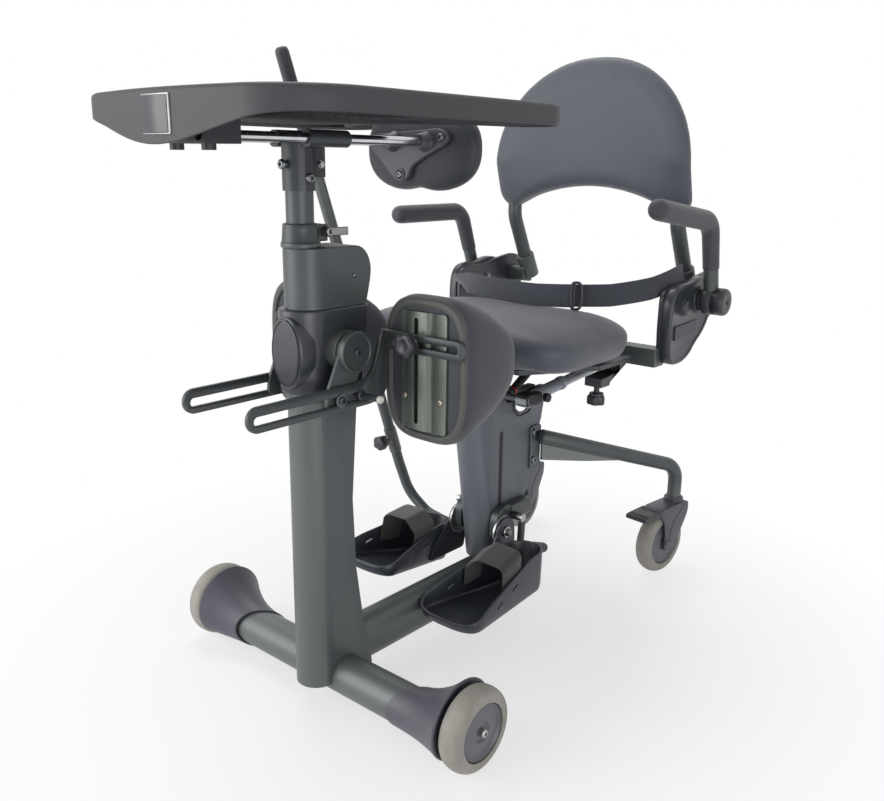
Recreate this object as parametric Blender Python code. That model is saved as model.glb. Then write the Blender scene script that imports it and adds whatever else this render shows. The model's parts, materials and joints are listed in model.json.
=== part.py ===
"""Sit-to-stand frame, modelled as the pieces that come apart on a bench.

X runs to the side, with the right-hand pieces at +X, Y runs from the mast (front) to the seat (rear)
and Z runs up. Lengths along Y are given from the front axle and heights from a datum just under the
floor. One empty moves the whole stander so that the origin lies on the floor under the middle of its box.
"""

import math

import bmesh
import bpy
from mathutils import Matrix, Vector

# Clearances
FIT = 0.0003            # between two pieces that touch
RUN = 0.00035           # between two pieces that slide or turn on each other
SHEET = 0.003           # folded steel sheet

# Front axle and wheels
DATUM = 0.0055          # height of the floor above the datum
WHEEL_RADIUS = 0.0575
WHEEL_WIDTH = 0.033
WHEEL_SIDES = 28
HUB_RADIUS = 0.0385
HUB_DISH = 0.0025
TREAD_SHOULDER = 0.008
TRACK_HALF = 0.2634
AXLE_RADIUS = 0.006
AXLE_HEAD_RADIUS = 0.009
AXLE_HEAD = 0.006
CROSS_RADIUS = 0.029
CROSS_Z = 0.0446
SHROUD_INNER_X = 0.137
SHROUD_WALL = 0.002
SHROUD_FLANGE = 0.004
SHROUD_DISC_RADIUS = 0.0585
SHROUD_FLARE = 2.2
SHROUD_TO_WHEEL = 0.0025

# Spine and mast
SPINE_WIDTH = 0.050
SPINE_TOP = 0.105
SPINE_HEIGHT = 0.072
SPINE_START_Y = 0.012
SPINE_END_Y = 0.402
MAST_HALF = 0.030
MAST_NOSE_Y = -0.028
MAST_CORNER = 0.003
MAST_FOOT_Z = 0.040
SHELL_BOTTOM = 0.466
SHELL_TOP = 0.574
MAST_REAR = ((MAST_FOOT_Z, 0.054), (0.070, 0.050), (0.120, 0.037), (0.200, 0.025), (0.305, 0.020), (0.430, 0.029),
             (SHELL_TOP, 0.045))
SHELL_WALL = 0.0045
SHELL_NOSE = 0.010
HOUSING_TOP = 0.650
HOUSING_REAR_Y = 0.062
HOUSING_TOP_ROUND = 0.028
INNER_RADIUS = 0.0175
INNER_Y = -0.037
INNER_BOTTOM = 0.430
INNER_BORE_BOTTOM = 0.420
COLLAR_RADIUS = 0.0225
COLLAR_HEIGHT = 0.0297
COLLAR_LUG_Y = 0.0
COLLAR_LUG_HALF = 0.010
COLLAR_SLIT = 0.002
COLLAR_LEVER_LENGTH = 0.034
COLLAR_LEVER_RADIUS = 0.0035
HEAD_RADIUS = 0.0205
HEAD_BOTTOM = 0.719
HEAD_SOCKET_TOP = 0.762

# Tray carriage
ROD_RADIUS = 0.006
ROD_X = 0.030
ROD_Z = 0.781
ROD_REAR_Y = 0.168
BARREL_RADIUS = 0.0105
BARREL_FRONT_Y = -0.050
BARREL_REAR_Y = 0.015
BLOCK_FRONT_Y = -0.200
BLOCK_REAR_Y = -0.152
BLOCK_HALF = 0.041
BLOCK_BOTTOM = 0.772
TRAY_HALF = 0.210
TRAY_FRONT_Y = -0.235
TRAY_REAR_Y = 0.245
TRAY_TOP = 0.828
TRAY_RIM = 0.027
TRAY_PLATE = 0.007
TRAY_LIP = 0.012
TRAY_APRON = 0.058
TRAY_APRON_HALF = 0.150
TRAY_FRONT_CORNER = 0.095
TRAY_FRONT_SWEEP = 0.035
TRAY_HORN_RADIUS = 0.043
BELLY_HALF = 0.124
BELLY_DEPTH = 0.105
BELLY_Y = 0.202

# Chest support
CHEST_PLATE_Y = 0.1690
CHEST_PLATE = 0.004
CHEST_PAD_HALF = 0.1025
CHEST_PAD_BOTTOM = 0.712
CHEST_PAD_TOP = 0.832
CHEST_PAD_DEPTH = 0.040
CHEST_NOTCH = 0.006
CHEST_NOTCH_SPREAD = 0.020

# Knee supports
KNEE_HUB_Y = -0.004
KNEE_HUB_Z = 0.520
KNEE_BOSS_RADIUS = 0.0195
KNEE_DISC_RADIUS = 0.027
KNEE_WEB_RADIUS = 0.0265
KNEE_WEB_X = 0.0545
KNEE_WEB = 0.005
KNEE_DISC = 0.0065
KNEE_BOLT_Y = -0.034
KNEE_BOLT_RADIUS = 0.0045
KNEE_BAR_Z = 0.464
KNEE_BAR_HEIGHT = 0.032
KNEE_BAR = 0.006
KNEE_BAR_FRONT_Y = -0.180
KNEE_SLOT_FRONT_Y = -0.165
KNEE_SLOT_REAR_Y = -0.001
KNEE_SLOT_Z = 0.4625
KNEE_SLOT = 0.0110
KNEE_CROSS_Y = 0.047
KNEE_CROSS_Z = 0.531
KNEE_CROSS_HEIGHT = 0.025
KNEE_CROSS_END_X = {"left": 0.160, "right": 0.199}
KNEE_CROSS_SLOT_X = 0.086
KNEE_CROSS_SLOT = 0.007
KNEE_PAD_SHIFT = {"left": -0.0195, "right": 0.0}
KNEE_KNOB_X = 0.116
KNEE_KNOB_RADIUS = 0.0165
KNEE_KNOB_LENGTH = 0.018
KNEE_STUD_RADIUS = 0.003
KNEE_RAIL_INNER_X = 0.088
KNEE_RAIL_OUTER_X = 0.165
KNEE_RAIL_BOTTOM = 0.416
KNEE_RAIL_TOP = 0.572
KNEE_RAIL = 0.006
KNEE_RAIL_SLOT = 0.007
KNEE_PAD_INNER_X = 0.055
KNEE_PAD_OUTER_X = 0.200
KNEE_PAD_BOTTOM = 0.399
KNEE_PAD_TOP = 0.592
KNEE_PAD_REAR_Y = 0.172
KNEE_PAD_FORM = ((0.0, 0.90, 0.92), (0.10, 1.0, 1.0), (0.35, 0.985, 0.91), (0.60, 0.95, 0.78),
                 (0.80, 0.90, 0.63), (0.93, 0.84, 0.50), (1.0, 0.76, 0.41), (0.97, 0.66, 0.35), (0.85, 0.50, 0.26),
                 (0.76, 0.25, 0.14))     # share of the depth, of the width and of the height

# Column, lift and seat link
COLUMN_HALF = 0.030
COLUMN_BASE_Z = 0.1053
COLUMN_BASE = 0.004
COLUMN_NOSE_BASE_Y = 0.323
COLUMN_NOSE_TOP_Y = 0.280
COLUMN_NOSE_TOP_Z = 0.388
COLUMN_REAR = ((0.1053, 0.378), (0.150, 0.386), (0.175, 0.395), (0.189, 0.415), (0.205, 0.434), (0.225, 0.438),
               (0.242, 0.440), (0.261, 0.446), (0.297, 0.456), (0.327, 0.468), (0.378, 0.479))
NOTCH_Y = 0.413
NOTCH_Z = 0.376
NOTCH_RADIUS = 0.026
COLUMN_SLOT_Y = 0.3545
COLUMN_SLOT = 0.0075
COLUMN_SLOT_BOTTOM = 0.189
COLUMN_SLOT_TOP = 0.324
LIFT_Y = 0.305
LIFT_Z = 0.430
EAR_RADIUS = 0.0165
LIFT_PIN_RADIUS = 0.008
HIP_Y = 0.530
HIP_Z = 0.452
HIP_JOURNAL_RADIUS = 0.011
HIP_TUBE = 0.030
LIFT_BOSS_RADIUS = 0.0155
LIFT_BEAM_HALF = 0.0175
LIFT_BEAM_BOTTOM = 0.4235
PAN_HALF = 0.182
PAN_NOSE_HALF = 0.110
PAN_BOTTOM = 0.4468
PAN = 0.0077
PAN_FRONT_Y = 0.285
PAN_WAIST_Y = 0.400
PAN_REAR_Y = 0.497
SLIDER_INNER_X = 0.150
SLIDER_OUTER_X = 0.180
SLIDER_FRONT_Y = 0.408
SLIDER_BOTTOM = 0.417
SEAT_KNOB_RADIUS = 0.0115
SEAT_KNOB_DROP = 0.029
LINK_X = 0.115
LINK_DROP = 0.022
LINK_SETBACK = 0.009
LINK_RADIUS = 0.0098
LINK_ROD_RADIUS = 0.0080
LINK_RING_RADIUS = 0.0110
LINK_PIN_RADIUS = 0.005
LINK_ROOM = 0.0125        # half width of the slot in the pan that the link swings through
LINK_ROOM_Y = 0.355        # where that slot starts
LINK_RING = 0.43          # place of the ring, as a share of the way along the link
CYLINDER_RADIUS = 0.016
CYLINDER_Y = 0.352
CYLINDER_TOP = 0.335
CYLINDER_ROD_RADIUS = 0.006
CYLINDER_HEAD = 0.003     # how far the rod's head stands inside the lift beam's channel
VALVE_Y = 0.400
VALVE_Z = 0.372
VALVE_BLOCK_HALF = 0.016

# Rear legs and casters
LEG_RADIUS = 0.01275
LEG_START = (0.0440, 0.452, 0.300)
LEG_BEND = 0.036
LEG_CORNER_Z = 0.205
CASTER_X = 0.165
CASTER_Y = 0.727
CASTER_TRAIL = 0.039
CASTER_TURN = math.radians(7)
CASTER_RADIUS = 0.060
CASTER_HUB_RADIUS = 0.040
CASTER_WIDTH = 0.030
CASTER_STEM_Z = 0.147
CASTER_COLLAR = 0.012
PEDAL_Y = 0.6625          # front edge of the hood, where the pedal is hinged
PEDAL_TIP_Y = 0.607
PEDAL_HALF = 0.0215
CASTER_FORK_WALL = 0.0035
CASTER_ROOM = 0.0035
CASTER_GAP = 0.0015
GUSSET_LENGTH = 0.62      # share of the leg's straight run that the gusset supports
GUSSET_DEPTH = 0.042

# Seat, side plates, back and arms
SEAT_HALF = 0.205
SEAT_FRONT_Y = 0.232
SEAT_REAR_Y = 0.496
SEAT_THICKNESS = 0.070
SEAT_SADDLE = 0.006       # how much higher its sides stand than its middle
PLATE_INNER_X = 0.2133
PLATE_THICKNESS = 0.0184
PLATE_OUTLINE = ((0.528, 0.441), (0.524, 0.500), (0.526, 0.545), (0.540, 0.565), (0.565, 0.569), (0.592, 0.569),
                 (0.625, 0.577), (0.655, 0.573), (0.669, 0.548), (0.667, 0.505), (0.645, 0.480), (0.618, 0.464),
                 (0.600, 0.447), (0.570, 0.4375))
BACK_TUBE_RADIUS = 0.013
BACK_TUBE_X = 0.170
BACK_SLEEVE_RADIUS = 0.017
BACK_TUBE_ROUTE = ((0.703, 0.542), (0.681, 0.584), (0.646, 0.655))
BACK_TUBE_TOP = 0.705
BACK_HALF = 0.198
BACK_BOTTOM = 0.673
BACK_TOP = 0.935
BACK_ARCH = 0.040
BACK_THICKNESS = 0.046
BACK_SEAM_Y = 0.646
BACK_WRAP = 0.026
BACK_WRAP_RISE = 0.080
ARM_X = 0.250
ARM_HUB_Y = 0.626
ARM_HUB_Z = 0.538
ARM_HUB_RADIUS = 0.0175
ARM_CAP_RADIUS = 0.0220
ARM_CAP_X = 0.261
ARM_END_X = 0.277
ARM_TUBE_RADIUS = 0.0120
ARM_PAD_RADIUS = 0.0160
ARM_TIP = {"left": (0.432, 0.691), "right": (0.424, 0.6915)}
ARM_BEND = (0.598, 0.668)
ARM_DROP = {"left": math.radians(8), "right": 0.0}
ARM_PIN_RADIUS = 0.007
BELT_WIDTH = 0.035
BELT = 0.003

# Pump lever
PUMP_Y = 0.410
PUMP_Z = 0.100
PUMP_RADIUS = 0.0095
PUMP_X = 0.2230
PUMP_ROUTE = ((-0.048, 0.410, 0.100), (-0.118, 0.403, 0.108), (-0.172, 0.400, 0.118), (-0.2150, 0.396, 0.150),
              (-0.2215, 0.376, 0.211))
PUMP_TOP = (-PUMP_X, 0.127, 0.911)
PUMP_KNOB_Z = 0.260
PUMP_KNOB_RADIUS = 0.013

# Foot supports
FOOT_ANKLE_Y = 0.345
FOOT_ANKLE_Z = 0.160
FOOT_PIN_RADIUS = 0.006
FOOT_BRACKET_DEPTH = 0.018
FOOT_TOE_Y = 0.1435
FOOT_TOE_DEPTH = 0.030
FOOT_HEEL_Y = 0.366
FOOT_HEEL_DEPTH = 0.036
FOOT_TOE_INNER_X = 0.026
FOOT_TOE_OUTER_X = 0.142
FOOT_HEEL_INNER_X = 0.060
FOOT_HEEL_OUTER_X = 0.129
FOOT_FLOOR_Z = 0.078
FOOT_WALL = 0.004
FOOT_RIM_HEEL = 0.148
FOOT_RIM = ((0.100, 0.086), (0.150, 0.094), (0.204, 0.116), (0.304, 0.146), (0.386, FOOT_RIM_HEEL))
FOOT_EAR = ((0.294, 0.115), (0.281, 0.082), (0.373, 0.104))     # the ear's lower corners, under the pin
FOOT_PITCH = {"left": math.radians(-13), "right": 0.0}          # toe raised on the left plate
FOOT_STRAP_Y = 0.262
FOOT_STRAP_WIDTH = 0.052
FOOT_STRAP = 0.003
FOOT_STRAP_LOW_Z = 0.103
FOOT_STRAP_FRONT_Z = 0.142
FOOT_STRAP_REAR_Z = 0.156

BOX_MIDDLE_Y = 0.2567     # middle of the stander's length, from the front axle
SIDES = (("left", -1), ("right", 1))

for old in list(bpy.data.objects):
    bpy.data.objects.remove(old, do_unlink=True)


def finish(name, hex_colour, roughness, metallic=0.0):
    """A Principled material from an sRGB colour such as "3d4147"."""
    made = bpy.data.materials.new(name)
    made.use_nodes = True
    shader = made.node_tree.nodes["Principled BSDF"]
    parts = [int(hex_colour[i:i + 2], 16) / 255 for i in (0, 2, 4)]
    linear = [c / 12.92 if c <= 0.04045 else ((c + 0.055) / 1.055) ** 2.4 for c in parts]
    shader.inputs["Base Color"].default_value = (*linear, 1)
    shader.inputs["Roughness"].default_value = roughness
    shader.inputs["Metallic"].default_value = metallic
    return made


def carrier(name, parent=None, at=(0, 0, 0)):
    """An empty that carries pieces. "at" is its place measured from the front axle and the floor."""
    empty = bpy.data.objects.new(name, None)
    bpy.context.scene.collection.objects.link(empty)
    empty["place"] = [float(v) for v in at]
    if parent is not None:
        empty.parent = parent
        empty.location = Vector(at) - Vector(parent["place"])
    return empty


STANDER = carrier("stander")
STANDER.location = (0, -BOX_MIDDLE_Y, -DATUM)


def mesh_on(name, bm, parent):
    """Turns a bmesh, made in the stander's own coordinates, into an object seated at its carrier."""
    bmesh.ops.remove_doubles(bm, verts=bm.verts, dist=1e-6)
    bmesh.ops.recalc_face_normals(bm, faces=bm.faces)
    bm.transform(Matrix.Translation(-Vector(parent["place"])))
    mesh = bpy.data.meshes.new(name)
    bm.to_mesh(mesh)
    bm.free()
    mesh.shade_smooth()
    mesh.set_sharp_from_angle(angle=math.radians(35))
    made = bpy.data.objects.new(name, mesh)
    bpy.context.scene.collection.objects.link(made)
    made.parent = parent
    return made


def piece(name, bm, parent, colour, roughness, metallic=0.0):
    made = mesh_on(name, bm, parent)
    made.data.materials.append(finish(name, colour, roughness, metallic))
    return made


def boolean(target, bm, operation):
    helper = mesh_on(f"{target.name}_{operation.lower()}_{len(target.modifiers)}", bm, target.parent)
    helper.hide_render = True
    helper.display_type = "WIRE"
    step = target.modifiers.new(operation.title(), "BOOLEAN")
    step.operation = operation
    step.solver = "EXACT"
    step.object = helper


def cut(target, *cutters):
    for cutter in cutters:
        boolean(target, cutter, "DIFFERENCE")


def unite(target, *others):
    for other in others:
        boolean(target, other, "UNION")


def loft(rings):
    """A closed solid through rings of points, with a flat cap on each end."""
    bm = bmesh.new()
    rows = [[bm.verts.new(p) for p in ring] for ring in rings]
    for a, b in zip(rows, rows[1:]):
        for i in range(len(a)):
            j = (i + 1) % len(a)
            bm.faces.new((a[i], a[j], b[j], b[i]))
    bm.faces.new(rows[0])
    bm.faces.new(rows[-1])
    return bm


def prism(outline, axis, low, high):
    """An outline in the plane across "axis", drawn out from low to high. The outline gives the other two
    coordinates in the order X, Y, Z."""
    place = {"x": lambda a, b, c: (c, a, b), "y": lambda a, b, c: (a, c, b), "z": lambda a, b, c: (a, b, c)}[axis]
    return loft([[place(a, b, level) for a, b in outline] for level in (low, high)])


def box(x, y, z):
    return prism([(x[0], y[0]), (x[1], y[0]), (x[1], y[1]), (x[0], y[1])], "z", *z)


def circle(centre, radius, sides, start=0.0, sweep=2 * math.pi):
    """Points round a circle, or along an arc with both of its ends."""
    whole = abs(sweep) > 6.28
    steps = sides if whole else sides + 1
    return [(centre[0] + radius * math.cos(start + sweep * i / sides),
             centre[1] + radius * math.sin(start + sweep * i / sides)) for i in range(steps)]


def rod(axis, centre, low, high, radius, sides=20):
    """A round bar along an axis. "centre" gives the other two coordinates."""
    return prism(circle(centre, radius, sides), axis, low, high)


def slot(axis, start, end, width, low, high, sides=8):
    """A bar with round ends, whose section runs from start to end."""
    heading = math.atan2(end[1] - start[1], end[0] - start[0])
    outline = circle(end, width / 2, sides, heading - math.pi / 2, math.pi)
    outline += circle(start, width / 2, sides, heading + math.pi / 2, math.pi)
    return prism(outline, axis, low, high)


def turned(profile, centre, sides, axis="x"):
    """A solid turned round an axis from (radius, along) points; its first and last point lie on a bore or the axis."""
    place = {"x": lambda a, b, c: (c, a, b), "y": lambda a, b, c: (a, c, b), "z": lambda a, b, c: (a, b, c)}[axis]
    bm = bmesh.new()
    rows = []
    for radius, along in profile:
        if radius < 1e-6:
            rows.append([bm.verts.new(place(*centre, along))])
        else:
            ring = circle(centre, radius, sides, math.pi / sides)
            rows.append([bm.verts.new(place(a, b, along)) for a, b in ring])
    if len(rows[0]) > 1:
        rows.append(rows[0])
    for a, b in zip(rows, rows[1:]):
        for i in range(sides):
            j = (i + 1) % sides
            corners = [a[i % len(a)], a[j % len(a)], b[j % len(b)], b[i % len(b)]]
            bm.faces.new([v for n, v in enumerate(corners) if v not in corners[:n]])
    return bm


def rounded(points, bend, steps=6):
    """A path whose inner corners are arcs of radius "bend"."""
    path = [Vector(p) for p in points]
    made = [path[0]]
    for before, corner, after in zip(path, path[1:], path[2:]):
        a, b = (before - corner).normalized(), (after - corner).normalized()
        half = a.angle(b) / 2
        reach = min(bend / math.tan(half), 0.49 * min((before - corner).length, (after - corner).length))
        radius = reach * math.tan(half)
        middle = corner + (a + b).normalized() * (radius / math.sin(half))
        first, last = corner + a * reach - middle, corner + b * reach - middle
        turn = first.angle(last)
        for i in range(steps + 1):
            share = i / steps
            swing = (first * math.sin((1 - share) * turn) + last * math.sin(share * turn)) / math.sin(turn)
            made.append(middle + swing)
    made.append(path[-1])
    return made


def tube(path, radius, sides=16, section=None):
    """A round bar, or one of another section, swept along a path without twist."""
    path = [Vector(p) for p in path]
    section = section or circle((0, 0), radius, sides)
    heading = (path[1] - path[0]).normalized()
    across = heading.orthogonal().normalized() if abs(heading.z) > 0.95 else Vector((0, 0, 1))
    rings = []
    for i, point in enumerate(path):
        ahead = path[min(i + 1, len(path) - 1)] - point
        behind = point - path[max(i - 1, 0)]
        heading = (ahead.normalized() + behind.normalized()).normalized()
        across = (across - heading * across.dot(heading)).normalized()
        side = heading.cross(across)
        rings.append([point + across * b + side * a for a, b in section])
    return loft(rings)


def cushion(outline, half, seat, levels, edge=0.45, crown=0.75):
    """A stuffed form: an outline round (0, 0), full at its seam, flat below and crowned above.
    "seat" turns (across, along, height from the seam) into a place."""
    rings = []
    steepest = math.sin(math.pi * (0.5 - 1 / levels)) ** crown
    for i in range(1, levels):
        lean = math.pi * (i / levels - 0.5)
        share = math.cos(lean) ** edge
        height = math.copysign(abs(math.sin(lean)) ** crown / steepest, lean) * half
        rings.append([seat(a * share, b * share, height) for a, b in outline])
    for inward in (0.66, 0.33, 0.08):
        rings.append([seat(a * share * inward, b * share * inward, half) for a, b in outline])
    return loft(rings)


def squircle(half_a, half_b, power, around):
    """A rounded rectangle as one smooth curve."""
    points = []
    for i in range(around):
        turn = 2 * math.pi * i / around
        c, s = math.cos(turn), math.sin(turn)
        points.append((half_a * math.copysign(abs(c) ** (2 / power), c),
                       half_b * math.copysign(abs(s) ** (2 / power), s)))
    return points


def between(table, z):
    """Reads a value from a table of (place, value)."""
    for (z0, v0), (z1, v1) in zip(table, table[1:]):
        if z <= z1:
            return v0 + (v1 - v0) * (max(z, z0) - z0) / (z1 - z0)
    return table[-1][1]


# Front axle: one tube across the floor, with the axle bar held in its ends
wheel_inner = TRACK_HALF - WHEEL_WIDTH / 2
wheel_outer = TRACK_HALF + WHEEL_WIDTH / 2
shroud_outer = wheel_inner - SHROUD_TO_WHEEL
cross_end = shroud_outer - SHROUD_FLANGE - FIT
wheel_z = DATUM + WHEEL_RADIUS * math.cos(math.pi / WHEEL_SIDES)


def cross_tube():
    made = piece("front_cross_tube", rod("x", (0, CROSS_Z), -cross_end, cross_end, CROSS_RADIUS, 24),
                 STANDER, "4a4f52", 0.45, 0.6)
    head = wheel_outer + FIT
    unite(made, rod("x", (0, wheel_z), -head - AXLE_HEAD, head + AXLE_HEAD, AXLE_RADIUS, 16))
    for _, s in SIDES:
        unite(made, rod("x", (0, wheel_z), *sorted((s * head, s * (head + AXLE_HEAD))), AXLE_HEAD_RADIUS, 12))


def wheel_shroud(side, s):
    """A trumpet from the tube out to the back of the wheel, level along its underside."""
    bottom = CROSS_Z - CROSS_RADIUS - SHROUD_WALL
    rings = []
    for i in range(7):
        share = i / 6
        x = SHROUD_INNER_X + (shroud_outer - SHROUD_INNER_X) * share
        flare = share ** SHROUD_FLARE
        radius = CROSS_RADIUS + SHROUD_WALL + (SHROUD_DISC_RADIUS - CROSS_RADIUS - SHROUD_WALL) * flare
        middle = CROSS_Z + (wheel_z - CROSS_Z) * flare
        ring = []
        for a, b in circle((0, 0), 1, 24):
            ring.append((s * x, a * radius, middle + b * (radius if b > 0 else middle - bottom)))
        rings.append(ring)
    made = piece(f"wheel_shroud_{side}", loft(rings), STANDER, "5b5b66", 0.5)
    near, far = sorted((s * (SHROUD_INNER_X - 0.01), s * (cross_end + FIT)))
    cut(made, rod("x", (0, CROSS_Z), near, far, CROSS_RADIUS + FIT, 24))
    near, far = sorted((s * (SHROUD_INNER_X - 0.01), s * (shroud_outer + 0.01)))
    cut(made, rod("x", (0, wheel_z), near, far, AXLE_RADIUS + RUN, 16))


def wheel_body(x, width, centre, tread, hub, bore):
    """A moulded wheel: dished hub, rounded tread and a bore. x is the middle of its width."""
    half = width / 2
    profile = [(bore, x - half + HUB_DISH), (hub * 0.93, x - half + HUB_DISH), (hub, x - half),
               (tread - TREAD_SHOULDER, x - half), (tread, x - half * 0.50)]
    mirrored = [(radius, 2 * x - along) for radius, along in reversed(profile)]
    return turned(profile + mirrored, centre, WHEEL_SIDES)


def front_wheel(side, s):
    turns = carrier(f"front_wheel_{side}_axis", STANDER, (s * TRACK_HALF, 0, wheel_z))
    body = wheel_body(s * TRACK_HALF, WHEEL_WIDTH, (0, wheel_z), WHEEL_RADIUS, HUB_RADIUS, AXLE_RADIUS + RUN)
    piece(f"front_wheel_{side}", body, turns, "a7a39d", 0.6)


cross_tube()
for side, s in SIDES:
    wheel_shroud(side, s)
    front_wheel(side, s)


# Spine: an obround tube from the front axle back to the column
def spine_outline(grow=0.0):
    radius = SPINE_WIDTH / 2 + grow
    low = SPINE_TOP - SPINE_HEIGHT + SPINE_WIDTH / 2
    high = SPINE_TOP - SPINE_WIDTH / 2
    return circle((0, high), radius, 12, 0, math.pi) + circle((0, low), radius, 12, math.pi, math.pi)


def spine():
    made = piece("spine_tube", prism(spine_outline(), "y", SPINE_START_Y, SPINE_END_Y), STANDER, "4a4f52", 0.45, 0.6)
    cut(made, rod("x", (0, CROSS_Z), -0.1, 0.1, CROSS_RADIUS + FIT, 24))


spine()


# Mast: a D-section post coped over the axle tube and the spine, with a bore for the inner tube
def mast_ring(z, rear, grow=0.0, nose=0.0):
    """The post's section: a half-round front and flat sides back to the rear face."""
    half = MAST_HALF + grow
    front = circle((0, 0), 1, 12, math.pi, math.pi)
    ring = [(half * a, MAST_NOSE_Y + (half + nose) * b, z) for a, b in front]
    ring += [(half, rear + grow - MAST_CORNER, z), (half - MAST_CORNER, rear + grow, z)]
    ring += [(-half + MAST_CORNER, rear + grow, z), (-half, rear + grow - MAST_CORNER, z)]
    return ring


def mast_post():
    made = piece("mast_post", loft([mast_ring(z, rear) for z, rear in MAST_REAR]),
                 STANDER, "4a4f52", 0.45, 0.6)
    cut(made, rod("x", (0, CROSS_Z), -0.1, 0.1, CROSS_RADIUS + FIT, 24))
    cut(made, prism(spine_outline(FIT), "y", SPINE_START_Y - 0.03, 0.1))
    cut(made, rod("z", (0, INNER_Y), INNER_BORE_BOTTOM, SHELL_TOP + 0.01, INNER_RADIUS + RUN, 24))


def mast_shell():
    """The moulded sleeve low on the post, thicker over its front where the oval plate sits."""
    levels = [SHELL_BOTTOM, SHELL_TOP - FIT]
    made = piece("mast_shell", loft([mast_ring(z, between(MAST_REAR, z), SHELL_WALL, SHELL_NOSE - SHELL_WALL)
                                     for z in levels]), STANDER, "2b2e34", 0.35)
    beyond = [SHELL_BOTTOM - 0.01] + levels + [SHELL_TOP + 0.01]
    cut(made, loft([mast_ring(z, between(MAST_REAR, z), FIT) for z in beyond]))


def mast_housing():
    """The casing on top of the post. Its rear bulges and rounds over at the top."""
    rings = []
    for i in range(8):
        share = i / 7
        z = SHELL_TOP + FIT + (HOUSING_TOP - SHELL_TOP - FIT) * share
        fall = max(0.0, (z - HOUSING_TOP + HOUSING_TOP_ROUND) / HOUSING_TOP_ROUND)
        rear = HOUSING_REAR_Y - 0.012 * (1 - share) ** 2 - HOUSING_TOP_ROUND * (1 - math.sqrt(max(0.0, 1 - fall ** 2)))
        rings.append(mast_ring(z, rear))
    made = piece("mast_housing", loft(rings), STANDER, "4a4f52", 0.45, 0.6)
    cut(made, rod("z", (0, INNER_Y), SHELL_TOP - 0.01, HOUSING_TOP + 0.01, INNER_RADIUS + RUN, 24))


def mast_collar():
    """A split clamp ring: its slit runs back through the lug that the lever pinches."""
    low, high = HOUSING_TOP + FIT, HOUSING_TOP + COLLAR_HEIGHT
    made = piece("mast_collar", rod("z", (0, INNER_Y), low, high, COLLAR_RADIUS, 24), STANDER, "2f3237", 0.5)
    unite(made, box((-COLLAR_LUG_HALF, COLLAR_LUG_HALF), (INNER_Y + 0.01, COLLAR_LUG_Y), (low + 0.006, high - 0.002)))
    cut(made, rod("z", (0, INNER_Y), low - 0.01, high + 0.01, INNER_RADIUS + RUN, 24),
        box((-COLLAR_SLIT / 2, COLLAR_SLIT / 2), (INNER_Y, COLLAR_LUG_Y + 0.01), (low - 0.01, high + 0.01)))


lever_y = COLLAR_LUG_Y - 0.006
lever_z = HOUSING_TOP + COLLAR_HEIGHT - 0.011


def collar_lever():
    """A cam lever whose round bar turns beside the lug."""
    pivot = carrier("collar_lever_axis", STANDER, (COLLAR_LUG_HALF + 0.006, lever_y, lever_z))
    inner = COLLAR_LUG_HALF + FIT
    made = piece("collar_lever", rod("x", (lever_y, lever_z), inner, inner + 0.011, 0.0065, 12), pivot,
                 "b9bbbd", 0.3, 1.0)
    x = inner + 0.0065
    unite(made, tube([(x, lever_y, lever_z), (x, lever_y + COLLAR_LEVER_LENGTH, lever_z + 0.004)],
                     COLLAR_LEVER_RADIUS, 10))


mast_post()
mast_shell()
mast_housing()
mast_collar()
collar_lever()

# Mast head: rises out of the post with the inner tube and carries the tray rods
height_slide = carrier("mast_height_axis", STANDER, (0, INNER_Y, HOUSING_TOP))


def inner_tube():
    piece("inner_tube", rod("z", (0, INNER_Y), INNER_BOTTOM, HEAD_SOCKET_TOP - FIT, INNER_RADIUS, 24),
          height_slide, "4a4f52", 0.4, 0.6)


def mast_head():
    made = piece("mast_head", rod("z", (0, INNER_Y), HEAD_BOTTOM, ROD_Z - 0.004, HEAD_RADIUS, 20),
                 height_slide, "2f3237", 0.5)
    unite(made, box((-ROD_X, ROD_X), (BARREL_FRONT_Y + 0.006, BARREL_REAR_Y - 0.006), (ROD_Z - 0.007, ROD_Z + 0.006)))
    for _, s in SIDES:
        unite(made, rod("y", (s * ROD_X, ROD_Z), BARREL_FRONT_Y, BARREL_REAR_Y, BARREL_RADIUS, 14))
    unite(made, box((-0.012, 0.012), (INNER_Y + 0.012, -0.004), (HEAD_BOTTOM + 0.016, ROD_Z - 0.005)))
    cut(made, rod("z", (0, INNER_Y), HEAD_BOTTOM - 0.02, HEAD_SOCKET_TOP, INNER_RADIUS + FIT, 24))
    for _, s in SIDES:
        cut(made, rod("y", (s * ROD_X, ROD_Z), BARREL_FRONT_Y - 0.01, BARREL_REAR_Y + 0.01, ROD_RADIUS + RUN, 16))


inner_tube()
mast_head()

# Two rods that slide through the mast head, and the block that slides on them with the tray
rod_slide = carrier("rod_slide_axis", height_slide, (0, BARREL_REAR_Y, ROD_Z))
tray_slide = carrier("tray_slide_axis", rod_slide, (0, BLOCK_REAR_Y, ROD_Z))


def tray_rod(side, s):
    piece(f"tray_rod_{side}", rod("y", (s * ROD_X, ROD_Z), BLOCK_FRONT_Y + 0.012, ROD_REAR_Y, ROD_RADIUS, 16),
          rod_slide, "c9cbcd", 0.12, 1.0)


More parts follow.
